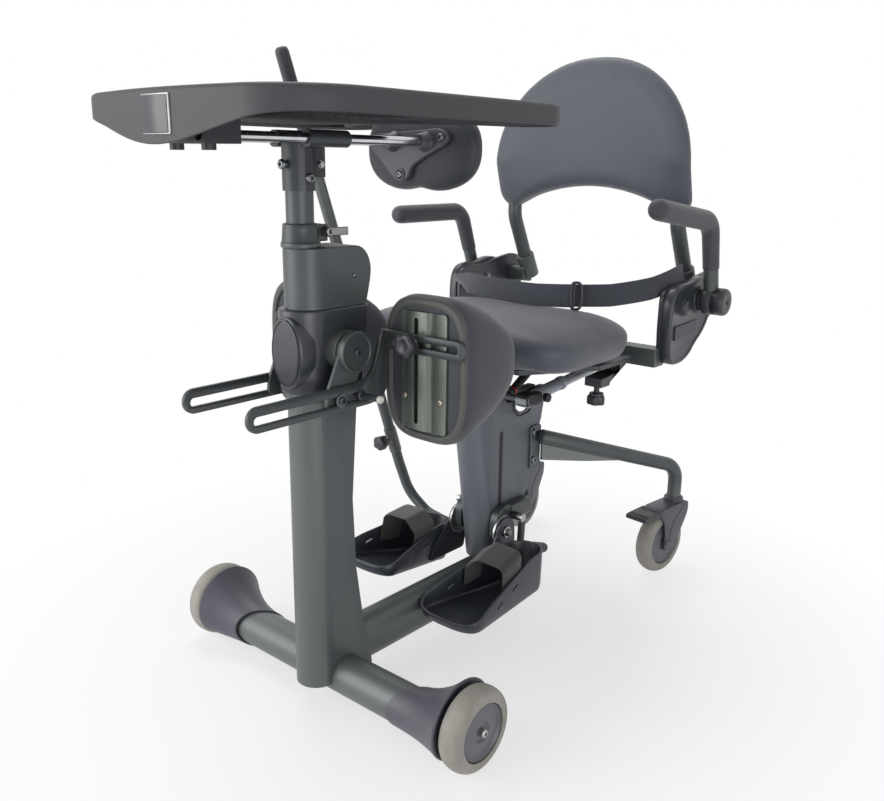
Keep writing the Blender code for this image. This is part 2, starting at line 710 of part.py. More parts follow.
def tray_block():
    """The block under the tray's front: two knobs below it pinch the rods."""
    top = TRAY_TOP - TRAY_PLATE - FIT
    made = piece("tray_block", box((-BLOCK_HALF, BLOCK_HALF), (BLOCK_FRONT_Y, BLOCK_REAR_Y), (BLOCK_BOTTOM, top)),
                 tray_slide, "2f3237", 0.5)
    for _, s in SIDES:
        knob = rod("z", (s * ROD_X, BLOCK_FRONT_Y + 0.013), BLOCK_BOTTOM - 0.007, BLOCK_BOTTOM + 0.004, 0.008, 12)
        unite(made, knob)
    for _, s in SIDES:
        cut(made, rod("y", (s * ROD_X, ROD_Z), BLOCK_FRONT_Y - 0.01, BLOCK_REAR_Y + 0.01, ROD_RADIUS + RUN, 12))


def tray_outline(inset=0.0):
    """Front edge bowed, front corners wide, and two horns beside the belly cut-out."""
    half = TRAY_HALF - inset
    right = []
    front = TRAY_FRONT_Y + inset
    for i in range(7):
        x = (half - TRAY_FRONT_CORNER) * i / 6
        right.append((x, front + TRAY_FRONT_SWEEP * (x / TRAY_HALF) ** 2))
    corner_x = half - TRAY_FRONT_CORNER
    corner_y = right[-1][1] + TRAY_FRONT_CORNER
    right += circle((corner_x, corner_y), TRAY_FRONT_CORNER, 7, -math.pi / 2 + 0.16, math.pi / 2 - 0.16)[1:]
    horn = (TRAY_HALF - BELLY_HALF) / 2
    middle = TRAY_HALF - horn
    right += circle((middle, TRAY_REAR_Y - horn), horn - inset, 8, 0, math.pi)
    for i in range(1, 9):
        turn = math.pi / 2 * i / 8
        right.append(((BELLY_HALF + inset) * math.cos(turn), BELLY_Y - (BELLY_DEPTH + inset) * math.sin(turn)))
    return right[:-1] + [(0.0, right[-1][1])] + [(-x, y) for x, y in reversed(right[1:-1])]


def tray():
    low, high = TRAY_TOP - TRAY_RIM, TRAY_TOP
    made = piece("tray", prism(tray_outline(), "z", low, high), tray_slide, "4b4b4f", 0.55)
    rings = []
    for i in range(13):
        share = i / 6 - 1
        x = share * TRAY_APRON_HALF
        front = TRAY_FRONT_Y + FIT + TRAY_FRONT_SWEEP * (x / TRAY_HALF) ** 2
        drop = low - (TRAY_APRON - TRAY_RIM) * math.cos(share * math.pi / 2) ** 1.6
        back = front + TRAY_LIP / 2
        rings.append([(x, front, drop), (x, back, drop), (x, back, high - TRAY_PLATE / 2),
                      (x, front, high - TRAY_PLATE / 2)])
    cut(made, prism(tray_outline(TRAY_LIP), "z", low - 0.01, high - TRAY_PLATE))
    unite(made, loft(rings))


for side, s in SIDES:
    tray_rod(side, s)
tray_block()
tray()

# Chest support: a plate clamped on the ends of the rods, with a pad behind it


def chest_bracket():
    """A three-cornered plate with a barrel on each rod."""
    corners = [(-0.070, ROD_Z + 0.006), (-0.076, ROD_Z - 0.006), (-0.034, 0.736), (-0.020, 0.727), (-0.008, 0.733),
               (0.022, ROD_Z - 0.022), (0.062, ROD_Z - 0.004), (0.068, ROD_Z + 0.010), (0.052, ROD_Z + 0.016)]
    front = CHEST_PLATE_Y - CHEST_PLATE
    made = piece("chest_bracket", prism(corners, "y", front, CHEST_PLATE_Y), rod_slide, "2f3237", 0.5)
    for _, s in SIDES:
        unite(made, rod("y", (s * ROD_X, ROD_Z), front - 0.014, CHEST_PLATE_Y, BARREL_RADIUS, 14))
    for _, s in SIDES:
        cut(made, rod("y", (s * ROD_X, ROD_Z), front - 0.03, CHEST_PLATE_Y + 0.01, ROD_RADIUS + FIT, 16))


def chest_pad():
    """Kidney-shaped: round at the sides, with a shallow notch in its lower edge."""
    middle = (CHEST_PAD_BOTTOM + CHEST_PAD_TOP) / 2
    high = (CHEST_PAD_TOP - CHEST_PAD_BOTTOM) / 2
    outline = []
    for a, b in squircle(CHEST_PAD_HALF, high, 2.5, 22):
        notch = CHEST_NOTCH * math.exp(-(a / CHEST_NOTCH_SPREAD) ** 2) if b < 0 else 0.0
        outline.append((a, b + notch))
    depth = CHEST_PAD_DEPTH / 2
    front = CHEST_PLATE_Y + FIT

    def seat(a, b, height):
        share = (a / CHEST_PAD_HALF) ** 2
        return (a, front + depth + height + 0.004 * share * (height / depth + 1) / 2, middle + b)

    piece("chest_pad", cushion(outline, depth, seat, 7, 0.5, 0.8), rod_slide, "454a54", 0.55)


chest_bracket()
chest_pad()

# Knee supports: web plate on a hub, slotted bar, clamp knob, slotted rail and a cup-shaped pad
web_outer = KNEE_WEB_X + KNEE_WEB
bar_inner = web_outer + FIT
bar_outer = bar_inner + KNEE_BAR
cross_front_y = KNEE_CROSS_Y - KNEE_BAR / 2
cross_rear_y = KNEE_CROSS_Y + KNEE_BAR / 2
rail_front_y = cross_rear_y + FIT
rail_rear_y = rail_front_y + KNEE_RAIL


def knee_web(side, s):
    """Hub boss, hanging web plate and outer disc, with the bolt that the slotted bar slides on."""
    plate = circle((KNEE_HUB_Y, KNEE_HUB_Z), KNEE_WEB_RADIUS, 12, 0, math.pi)
    plate += [(-0.050, 0.478), (-0.053, KNEE_BAR_Z - 0.006), (-0.042, KNEE_BAR_Z - 0.014),
              (-0.022, KNEE_BAR_Z - 0.012), (0.014, 0.497)]
    made = piece(f"knee_web_{side}", prism(plate, "x", *sorted((s * KNEE_WEB_X, s * web_outer))),
                 STANDER, "2f3237", 0.45, 0.5)
    start = MAST_HALF + SHELL_WALL + FIT
    unite(made, rod("x", (KNEE_HUB_Y, KNEE_HUB_Z), *sorted((s * start, s * (KNEE_WEB_X + 0.001))), KNEE_BOSS_RADIUS, 18),
          rod("x", (KNEE_HUB_Y, KNEE_HUB_Z), *sorted((s * (web_outer - 0.001), s * (web_outer + KNEE_DISC))),
              KNEE_DISC_RADIUS, 20),
          rod("x", (KNEE_BOLT_Y, KNEE_SLOT_Z), *sorted((s * (web_outer - 0.001), s * (bar_outer + 0.003))),
              KNEE_BOLT_RADIUS, 12),
          rod("x", (KNEE_BOLT_Y, KNEE_SLOT_Z), *sorted((s * (bar_outer + FIT), s * (bar_outer + 0.004))), 0.008, 12))


def knee_bar(side, s, parent):
    """One folded flat bar: slotted run, a rise behind the hub and a slotted arm turned outwards."""
    half = KNEE_BAR_HEIGHT / 2
    top = KNEE_CROSS_Z + KNEE_CROSS_HEIGHT / 2
    outline = circle((KNEE_BAR_FRONT_Y + half, KNEE_BAR_Z), half, 7, math.pi / 2, math.pi)
    outline += [(0.018, KNEE_BAR_Z - half), (cross_rear_y - 0.008, KNEE_BAR_Z - half + 0.006),
                (cross_rear_y, KNEE_BAR_Z - half + 0.018), (cross_rear_y, top),
                (cross_front_y, top), (0.036, top - 0.008), (0.033, top - 0.026), (0.028, top - 0.044),
                (0.018, top - 0.057), (0.004, KNEE_BAR_Z + half)]
    made = piece(f"knee_bar_{side}", prism(outline, "x", *sorted((s * bar_inner, s * bar_outer))),
                 parent, "3a3e42", 0.45, 0.5)
    low = KNEE_CROSS_Z - KNEE_CROSS_HEIGHT / 2
    reach = KNEE_CROSS_END_X[side] - KNEE_CROSS_HEIGHT / 2
    end = circle((reach, KNEE_CROSS_Z), KNEE_CROSS_HEIGHT / 2, 7, -math.pi / 2, math.pi)
    arm = [(s * x, z) for x, z in [(bar_inner + 0.001, low)] + end + [(bar_inner + 0.001, top)]]
    unite(made, prism(arm, "y", cross_front_y, cross_rear_y))
    cut(made, slot("x", (KNEE_SLOT_FRONT_Y, KNEE_SLOT_Z), (KNEE_SLOT_REAR_Y, KNEE_SLOT_Z), KNEE_SLOT,
                   *sorted((s * (bar_inner - 0.01), s * (bar_outer + 0.01)))))
    cut(made, slot("y", (s * KNEE_CROSS_SLOT_X, KNEE_CROSS_Z), (s * reach, KNEE_CROSS_Z), KNEE_CROSS_SLOT,
                   cross_front_y - 0.01, cross_rear_y + 0.01))


def knee_knob(side, s, parent):
    """Five-lobed hand knob on the stud that clamps bar and rail together."""
    stud_x = KNEE_KNOB_X + KNEE_PAD_SHIFT[side]
    lobes = []
    for i in range(20):
        turn = 2 * math.pi * i / 20
        radius = KNEE_KNOB_RADIUS * (0.9 + 0.1 * math.cos(5 * turn))
        lobes.append((s * stud_x + radius * math.cos(turn), KNEE_CROSS_Z + radius * math.sin(turn)))
    face = cross_front_y - FIT
    made = piece(f"knee_knob_{side}", prism(lobes, "y", face - KNEE_KNOB_LENGTH, face - 0.007), parent, "2b2e34", 0.5)
    unite(made, rod("y", (s * stud_x, KNEE_CROSS_Z), face - 0.009, face, 0.0085, 14),
          rod("y", (s * stud_x, KNEE_CROSS_Z), face - 0.001, rail_rear_y - FIT, KNEE_STUD_RADIUS, 12))


def knee_rail(side, s, parent):
    """Extruded rail with a long slot and two shallow grooves down its front."""
    stud_x = KNEE_KNOB_X + KNEE_PAD_SHIFT[side]
    outer_x = KNEE_RAIL_OUTER_X + KNEE_PAD_SHIFT[side]
    near, far = sorted((s * (KNEE_RAIL_INNER_X + KNEE_PAD_SHIFT[side]), s * outer_x))
    made = piece(f"knee_rail_{side}", box((near, far), (rail_front_y, rail_rear_y), (KNEE_RAIL_BOTTOM, KNEE_RAIL_TOP)),
                 parent, "6f7670", 0.4, 0.8)
    reach = KNEE_RAIL_SLOT / 2 + 0.008
    cut(made, slot("y", (s * stud_x, KNEE_RAIL_BOTTOM + reach), (s * stud_x, KNEE_RAIL_TOP - reach), KNEE_RAIL_SLOT,
                   rail_front_y - 0.01, rail_rear_y + 0.01))
    for share in (0.30, 0.58):
        x = outer_x - (outer_x - stud_x) * share
        cut(made, box(sorted((s * (x - 0.004), s * (x + 0.004))), (rail_front_y - 0.01, rail_front_y + 0.0018),
                      (KNEE_RAIL_BOTTOM - 0.01, KNEE_RAIL_TOP + 0.01)))


def knee_pad(side, s, parent):
    """A deep cup: flat on the rail side, its outer walls reaching back past the knee."""
    middle_x = (KNEE_PAD_INNER_X + KNEE_PAD_OUTER_X) / 2 + KNEE_PAD_SHIFT[side]
    middle_z = (KNEE_PAD_BOTTOM + KNEE_PAD_TOP) / 2
    half_x = (KNEE_PAD_OUTER_X - KNEE_PAD_INNER_X) / 2
    half_z = (KNEE_PAD_TOP - KNEE_PAD_BOTTOM) / 2
    front = rail_rear_y + FIT
    outline = squircle(half_x, half_z, 3.2, 24)
    depth = KNEE_PAD_REAR_Y - front
    rings = []
    for back, wide, high in KNEE_PAD_FORM:
        rings.append([(s * (middle_x + a * wide), front + depth * back, middle_z + 0.004 * back + b * high)
                      for a, b in outline])
    piece(f"knee_pad_{side}", loft(rings), parent, "464953", 0.6)


for side, s in SIDES:
    knee_web(side, s)
    bar_slide = carrier(f"knee_bar_{side}_axis", STANDER, (s * bar_inner, KNEE_BOLT_Y, KNEE_BAR_Z))
    knee_bar(side, s, bar_slide)
    stud_x = KNEE_KNOB_X + KNEE_PAD_SHIFT[side]
    clamp_slide = carrier(f"knee_clamp_{side}_axis", bar_slide, (s * stud_x, KNEE_CROSS_Y, KNEE_CROSS_Z))
    knee_knob(side, s, clamp_slide)
    pad_slide = carrier(f"knee_pad_{side}_axis", clamp_slide, (s * stud_x, rail_front_y, KNEE_CROSS_Z))
    knee_rail(side, s, pad_slide)
    knee_pad(side, s, pad_slide)


# Column: sheet folded round the lift cylinder, open at the rear, with ears for the lift pivot
def nose_y(z):
    share = (z - COLUMN_BASE_Z) / (COLUMN_NOSE_TOP_Z - COLUMN_BASE_Z)
    return COLUMN_NOSE_BASE_Y + (COLUMN_NOSE_TOP_Y - COLUMN_NOSE_BASE_Y) * share


def column_ring(z, inset, rear):
    half = COLUMN_HALF - inset
    centre = nose_y(z) + COLUMN_HALF
    return [(a, b, z) for a, b in circle((0, centre), half, 10, math.pi, math.pi)] + [(half, rear, z), (-half, rear, z)]


link_y = LIFT_Y - LINK_SETBACK
link_z = LIFT_Z - LINK_DROP
link_end_y = HIP_Y - LINK_SETBACK
link_end_z = HIP_Z - LINK_DROP


def column():
    high = COLUMN_REAR[-1][0]
    wide = COLUMN_REAR[-1][1] + 0.05
    levels = (COLUMN_BASE_Z, high + 0.01)
    made = piece("column", loft([column_ring(z, 0, wide) for z in levels]), STANDER, "555861", 0.45, 0.6)
    levels = (COLUMN_BASE_Z + COLUMN_BASE, high + 0.02)
    cut(made, loft([column_ring(z, SHEET, wide + 0.01) for z in levels]))
    behind = [(y, z) for z, y in COLUMN_REAR]
    trim = [(behind[0][0], COLUMN_BASE_Z - 0.05)] + behind + [(behind[-1][0] - 0.002, high - 0.001)]
    trim += [(NOTCH_Y + NOTCH_RADIUS + 0.006, high - 0.003), (NOTCH_Y, high - 0.004), (0.345, high - 0.006),
             (0.2, high - 0.006), (0.2, 0.7), (0.7, 0.7), (0.7, COLUMN_BASE_Z - 0.05)]
    cut(made, prism(trim, "x", -0.1, 0.1))
    cut(made, rod("x", (NOTCH_Y, NOTCH_Z), -0.1, 0.1, NOTCH_RADIUS, 18))
    cut(made, slot("x", (COLUMN_SLOT_Y, COLUMN_SLOT_BOTTOM), (COLUMN_SLOT_Y, COLUMN_SLOT_TOP), COLUMN_SLOT, -0.1, 0.1))
    ear = circle((LIFT_Y, LIFT_Z), EAR_RADIUS, 9, 0, math.pi)
    ear += [(LIFT_Y - EAR_RADIUS, LIFT_Z - 0.010), (nose_y(high) + COLUMN_HALF - 0.004, high - 0.030),
            (0.372, high - 0.030), (0.372, high - 0.010)]
    for _, s in SIDES:
        unite(made, prism(ear, "x", *sorted((s * (COLUMN_HALF - SHEET), s * COLUMN_HALF))))
    lug = [(PUMP_Y - 0.038, PUMP_Z + 0.050), (PUMP_Y - 0.038, PUMP_Z + 0.006), (PUMP_Y - 0.012, PUMP_Z - 0.014),
           (PUMP_Y + 0.012, PUMP_Z - 0.014), (PUMP_Y + 0.014, PUMP_Z + 0.014), (PUMP_Y - 0.020, PUMP_Z + 0.050)]
    unite(made, prism(lug, "x", -COLUMN_HALF, SHEET - COLUMN_HALF))
    unite(made, rod("x", (LIFT_Y, LIFT_Z), -COLUMN_HALF - 0.004, COLUMN_HALF + 0.004, LIFT_PIN_RADIUS, 16),
          rod("x", (link_y, link_z), COLUMN_HALF - SHEET / 2, LINK_X + LINK_RADIUS + 0.004, LINK_PIN_RADIUS, 12),
          rod("x", (link_y, link_z), LINK_X + LINK_RADIUS + FIT, LINK_X + LINK_RADIUS + 0.004,
              LINK_PIN_RADIUS + 0.004, 12))


def lift_cylinder():
    made = piece("lift_cylinder", rod("z", (0, CYLINDER_Y), COLUMN_BASE_Z + COLUMN_BASE + FIT, CYLINDER_TOP,
                                      CYLINDER_RADIUS, 16), STANDER, "2b2e34", 0.4, 0.4)
    unite(made, box((-VALVE_BLOCK_HALF, VALVE_BLOCK_HALF), (CYLINDER_Y + 0.0125, VALVE_Y + 0.012),
                    (CYLINDER_TOP - 0.025, VALVE_Z + 0.012)),
          rod("x", (VALVE_Y, VALVE_Z), 0, COLUMN_HALF, 0.007, 12))
    cut(made, rod("z", (0, CYLINDER_Y), COLUMN_BASE_Z + 0.03, CYLINDER_TOP + 0.01, CYLINDER_ROD_RADIUS + RUN, 16))


def rear_leg(side, s):
    """A tube from the column's rear corner out to the caster, with a gusset plate under it."""
    start = Vector((s * LEG_START[0], *LEG_START[1:]))
    corner = Vector((s * CASTER_X, CASTER_Y, LEG_CORNER_Z))
    foot = Vector((s * CASTER_X, CASTER_Y, CASTER_STEM_Z + FIT))
    made = piece(f"rear_leg_{side}", tube(rounded([start, corner, foot], LEG_BEND, 5), LEG_RADIUS, 14),
                 STANDER, "4a4f52", 0.45, 0.6)
    inner = COLUMN_HALF + FIT
    run = corner - start
    plate = []
    for share, low in ((0.0, GUSSET_DEPTH), (GUSSET_LENGTH / 2, GUSSET_DEPTH * 0.64), (GUSSET_LENGTH, 0.008)):
        plate.append((start + run * share, low))
    rings = []
    for point, low in plate:
        rings.append([point + Vector((d, 0, h)) for d, h in
                      ((-0.002, -low), (0.002, -low), (0.002, -0.002), (-0.002, -0.002))])
    unite(made, loft(rings))
    lug = [(0.436, 0.316), (0.436, 0.247), (0.450, 0.236), (0.462, 0.240), (0.462, 0.316)]
    unite(made, prism(lug, "x", *sorted((s * inner, s * (LEG_START[0] + 0.004)))))


column()
lift_cylinder()
for side, s in SIDES:
    rear_leg(side, s)


# Casters: fork on the leg's end, wheel, and a brake pedal hinged on the hood's front edge
def caster(side, s):
    x = s * CASTER_X
    wheel_y = CASTER_Y - CASTER_TRAIL
    stem = Vector((x, CASTER_Y, 0))
    turn = Matrix.Translation(stem) @ Matrix.Rotation(-s * CASTER_TURN, 4, "Z") @ Matrix.Translation(-stem)
    caster_z = DATUM + CASTER_RADIUS * math.cos(math.pi / WHEEL_SIDES)
    gap = CASTER_WIDTH / 2 + CASTER_GAP
    outer = gap + CASTER_FORK_WALL
    hood_z = CASTER_STEM_Z - CASTER_COLLAR + 0.002
    front = PEDAL_Y + FIT

    swivel = carrier(f"caster_{side}_axis", STANDER, (x, CASTER_Y, CASTER_STEM_Z))
    hood = [(CASTER_Y + 0.018, hood_z - 0.005), (CASTER_Y + 0.012, hood_z), (front, hood_z - 0.0005),
            (front, hood_z - 0.014), (front + 0.012, hood_z - 0.026), (wheel_y - 0.009, caster_z + 0.018),
            (wheel_y - 0.010, caster_z - 0.006), (wheel_y - 0.004, caster_z - 0.012), (wheel_y + 0.004, caster_z - 0.012),
            (wheel_y + 0.011, caster_z - 0.006),
            (CASTER_Y + 0.006, 0.100), (CASTER_Y + 0.019, 0.118)]
    body = prism(hood, "x", x - outer, x + outer)
    body.transform(turn)
    made = piece(f"caster_fork_{side}", body, swivel, "4d4f58", 0.5)
    room = rod("x", (wheel_y, caster_z), x - gap, x + gap, CASTER_RADIUS + CASTER_ROOM, 24)
    pin = rod("x", (wheel_y, caster_z), x - outer - 0.002, x + outer + 0.002, AXLE_RADIUS - 0.001, 14)
    for shape in (room, pin):
        shape.transform(turn)
    unite(made, rod("z", (x, CASTER_Y), hood_z - 0.003, CASTER_STEM_Z, 0.0165, 16))
    cut(made, room)
    unite(made, pin)

    axle = turn @ Vector((x, wheel_y, caster_z))
    spins = carrier(f"caster_wheel_{side}_axis", swivel, tuple(axle))
    body = wheel_body(x, CASTER_WIDTH, (wheel_y, caster_z), CASTER_RADIUS, CASTER_HUB_RADIUS, AXLE_RADIUS - 0.001 + RUN)
    body.transform(turn)
    piece(f"caster_wheel_{side}", body, spins, "a7a39d", 0.6)

    hinge = turn @ Vector((x, PEDAL_Y, hood_z - 0.007))
    treads = carrier(f"brake_pedal_{side}_axis", swivel, tuple(hinge))
    pedal = [(PEDAL_Y, hood_z - 0.0015), (PEDAL_TIP_Y + 0.002, hood_z - 0.003), (PEDAL_TIP_Y, hood_z - 0.006),
             (PEDAL_TIP_Y + 0.002, hood_z - 0.016), (PEDAL_TIP_Y + 0.014, hood_z - 0.0135),
             (PEDAL_Y - 0.002, hood_z - 0.013)]
    body = prism(pedal, "x", x - PEDAL_HALF, x + PEDAL_HALF)
    body.transform(turn)
    piece(f"brake_pedal_{side}", body, treads, "3a3c44", 0.55)


for side, s in SIDES:
    caster(side, s)

# Seat lift: the arm that swings up from the column, and the pan that carries the cushion
lift = carrier("seat_lift_axis", STANDER, (0, LIFT_Y, LIFT_Z))


def lift_arm():
    half = COLUMN_HALF - SHEET - FIT
    right = [(PAN_NOSE_HALF, PAN_FRONT_Y), (PAN_HALF, PAN_WAIST_Y), (PAN_HALF, PAN_REAR_Y)]
    outline = right + [(-x, y) for x, y in reversed(right)]
    made = piece("lift_arm", prism(outline, "z", PAN_BOTTOM, PAN_BOTTOM + PAN), lift, "3a3e42", 0.5, 0.4)
    unite(made, box((-LIFT_BEAM_HALF, LIFT_BEAM_HALF), (LIFT_Y, HIP_Y), (LIFT_BEAM_BOTTOM, PAN_BOTTOM + 0.002)),
          rod("x", (LIFT_Y, LIFT_Z), -half, half, LIFT_BOSS_RADIUS, 16),
          rod("x", (HIP_Y, HIP_Z), -half, half, LIFT_BOSS_RADIUS, 16))
    slider = [(PAN_REAR_Y - 0.004, PAN_BOTTOM + 0.002), (PAN_REAR_Y - 0.034, PAN_BOTTOM + 0.002),
              (PAN_REAR_Y - 0.036, SLIDER_BOTTOM + 0.018), (SLIDER_FRONT_Y, SLIDER_BOTTOM + 0.014),
              (SLIDER_FRONT_Y, SLIDER_BOTTOM), (SLIDER_FRONT_Y + 0.025, SLIDER_BOTTOM),
              (SLIDER_FRONT_Y + 0.028, SLIDER_BOTTOM + 0.006)]
    for _, s in SIDES:
        near, far = sorted((s * SLIDER_INNER_X, s * SLIDER_OUTER_X))
        x = (near + far) / 2
        knob_y = SLIDER_FRONT_Y + 0.0125
        unite(made, prism(slider, "x", near, far),
              rod("z", (x, knob_y), SLIDER_BOTTOM - 0.014, SLIDER_BOTTOM + 0.002, 0.0045, 12),
              rod("z", (x, knob_y), SLIDER_BOTTOM - SEAT_KNOB_DROP, SLIDER_BOTTOM - 0.012, SEAT_KNOB_RADIUS, 12))
    cut(made, rod("x", (LIFT_Y, LIFT_Z), -0.1, 0.1, LIFT_PIN_RADIUS + RUN, 16),
        rod("x", (HIP_Y, HIP_Z), -0.1, 0.1, HIP_JOURNAL_RADIUS + RUN, 16),
        box((SHEET - LIFT_BEAM_HALF, LIFT_BEAM_HALF - SHEET), (LIFT_Y + LIFT_BOSS_RADIUS + SHEET, PAN_REAR_Y - 0.010),
            (LIFT_BEAM_BOTTOM - 0.01, PAN_BOTTOM)),
        box((LINK_X - LINK_ROOM, LINK_X + LINK_ROOM), (LINK_ROOM_Y, PAN_REAR_Y + 0.01),
            (PAN_BOTTOM - 0.001, PAN_BOTTOM + PAN + 0.001)))


def seat_cushion():
    depth_slide = carrier("seat_depth_axis", lift, (0, SEAT_REAR_Y, PAN_BOTTOM + PAN))
    middle_y = (SEAT_FRONT_Y + SEAT_REAR_Y) / 2
    half_y = (SEAT_REAR_Y - SEAT_FRONT_Y) / 2
    bottom = PAN_BOTTOM + PAN + FIT
    half = SEAT_THICKNESS / 2

    def seat(a, b, height):
        saddle = SEAT_SADDLE * (a / SEAT_HALF) ** 2 * max(height, 0) / half
        return (a, middle_y + b, bottom + half + height + saddle)

    piece("seat_cushion", cushion(squircle(SEAT_HALF, half_y, 5.0, 28), half, seat, 8, 0.36, 0.8),
          depth_slide, "5c5e68", 0.5)


lift_arm()
seat_cushion()

# Hip carriage: cross tube on the lift arm's end, side plates, back and belt, all kept upright by the link
hips = carrier("hip_level_axis", lift, (0, HIP_Y, HIP_Z))


def hip_frame():
    """A square tube each side of a round journal, with the lugs of the seat link."""
    reach = PLATE_INNER_X - FIT
    gap = COLUMN_HALF - SHEET + FIT
    half = HIP_TUBE / 2
    made = piece("hip_frame", rod("x", (HIP_Y, HIP_Z), -reach + 0.001, reach - 0.001, HIP_JOURNAL_RADIUS, 16),
                 hips, "3f4447", 0.4, 0.6)
    for _, s in SIDES:
        near, far = sorted((s * gap, s * reach))
        unite(made, box((near, far), (HIP_Y - half, HIP_Y + half), (HIP_Z - half, HIP_Z + half)))
    lug = [(link_end_y - 0.009, HIP_Z - half + 0.002), (link_end_y - 0.009, link_end_z - 0.004),
           (link_end_y - 0.004, link_end_z - 0.009), (link_end_y + 0.004, link_end_z - 0.009),
           (link_end_y + 0.011, HIP_Z - half + 0.002)]
    for s in (-1, 1):
        near, far = sorted((LINK_X + s * 0.0052, LINK_X + s * 0.0087))
        unite(made, prism(lug, "x", near, far))


def side_plate(side, s):
    """Moulded hip cover: rounded rim, blank label recess, and the stub that the arm turns on."""
    outer = PLATE_INNER_X + PLATE_THICKNESS
    made = piece(f"side_plate_{side}", prism(PLATE_OUTLINE, "x", *sorted((s * PLATE_INNER_X, s * outer))),
                 hips, "33353b", 0.4)
    bevel = made.modifiers.new("Rim", "BEVEL")
    bevel.width = 0.003
    bevel.segments = 1
    bevel.limit_method = "ANGLE"
    bevel.angle_limit = math.radians(60)
    unite(made, rod("x", (ARM_HUB_Y, ARM_HUB_Z), *sorted((s * (outer - 0.002), s * (ARM_END_X - 0.012))),
                    ARM_PIN_RADIUS, 16),
          rod("x", (0.583, 0.530), *sorted((s * (outer - 0.002), s * (outer + 0.004))), 0.0125, 12))
    recess = [(0.543, 0.481), (0.623, 0.487), (0.625, 0.503), (0.543, 0.499)]
    cut(made, prism(recess, "x", *sorted((s * (outer - 0.0025), s * (outer + 0.01)))))


def back_tube(side, s):
    """A back tube in its sleeve on the side plate. Its top is plugged into the back's lower corner."""
    route = [(s * BACK_TUBE_X, y, z) for y, z in BACK_TUBE_ROUTE]
    top = (route[-1][0], route[-1][1], BACK_TUBE_TOP)
    made = piece(f"back_tube_{side}", tube(rounded([*route, top], 0.05, 3), BACK_TUBE_RADIUS, 12), hips,
                 "3f4447", 0.4, 0.6)
    low, high = Vector(route[0]), Vector(route[1])
    unite(made, tube([low - (high - low) * 0.1, high - (high - low) * 0.1], BACK_SLEEVE_RADIUS, 12))
    bracket = [(0.643, 0.530), (0.703, 0.530), (0.696, 0.560), (0.640, 0.554)]
    unite(made, prism(bracket, "x", *sorted((s * BACK_TUBE_X, s * (PLATE_INNER_X - FIT)))))


def back_outline():
    """A wide arch over an upward-curved lower edge."""
    high = BACK_TOP - BACK_BOTTOM
    corner = 0.030
    shoulder = 0.075
    right = []
    for i in range(5):
        x = (BACK_HALF - corner) * i / 4
        right.append((x, BACK_ARCH * (1 - (x / (BACK_HALF - corner)) ** 2)))
    right += circle((BACK_HALF - corner, corner), corner, 4, -math.pi / 2, math.pi / 2)[1:]
    for i in range(1, 9):
        turn = math.pi / 2 * i / 8
        c, t = abs(math.cos(turn)) ** 0.93, math.sin(turn) ** 1.02
        right.append((BACK_HALF * c, shoulder + (high - shoulder) * t))
    right[-1] = (0.0, high)
    return right + [(-x, z) for x, z in reversed(right[1:-1])]


def back_cushion():
    centre_z = 0.115
    outline = [(x, z - centre_z) for x, z in back_outline()]
    half = BACK_THICKNESS / 2

    def seat(a, b, height):
        rise = min(1.0, max(0.0, (b + centre_z) / BACK_WRAP_RISE))
        wrap = BACK_WRAP * (a / BACK_HALF) ** 2 * rise
        return (a, BACK_SEAM_Y - wrap - height, BACK_BOTTOM + centre_z + b)

    made = piece("back_cushion", cushion(outline, half, seat, 8, 0.30, 0.7), hips, "5c5e68", 0.5)
    tube_y = BACK_TUBE_ROUTE[-1][0]
    for _, s in SIDES:
        cut(made, rod("z", (s * BACK_TUBE_X, tube_y), BACK_BOTTOM - 0.03, BACK_TUBE_TOP + FIT,
                      BACK_TUBE_RADIUS + FIT, 16))


def lap_belt():
    """Webbing from one side plate round the lap to the other, lying clear above the cushion."""
    path = []
    for i in range(19):
        turn = math.pi * i / 18
        x = -0.2085 * math.cos(turn)
        sag = math.sin(turn)
        path.append(Vector((x, 0.600 - 0.165 * sag ** 0.8, 0.554 - 0.004 * sag)))
    rings = []
    for i, point in enumerate(path):
        ahead = path[min(i + 1, 18)] - path[max(i - 1, 0)]
        out = Vector((ahead.y, -ahead.x, 0)).normalized() * (BELT / 2)
        low = Vector((0, 0, -BELT_WIDTH / 2))
        rings.append([point + out + low, point + out - low, point - out - low, point - out + low])
    made = piece("lap_belt", loft(rings), hips, "2a2d35", 0.8)
    for _, s in SIDES:
        tab = box(sorted((s * 0.2045, s * (PLATE_INNER_X - FIT))), (0.585, 0.615), (0.538, 0.572))
        unite(made, tab)


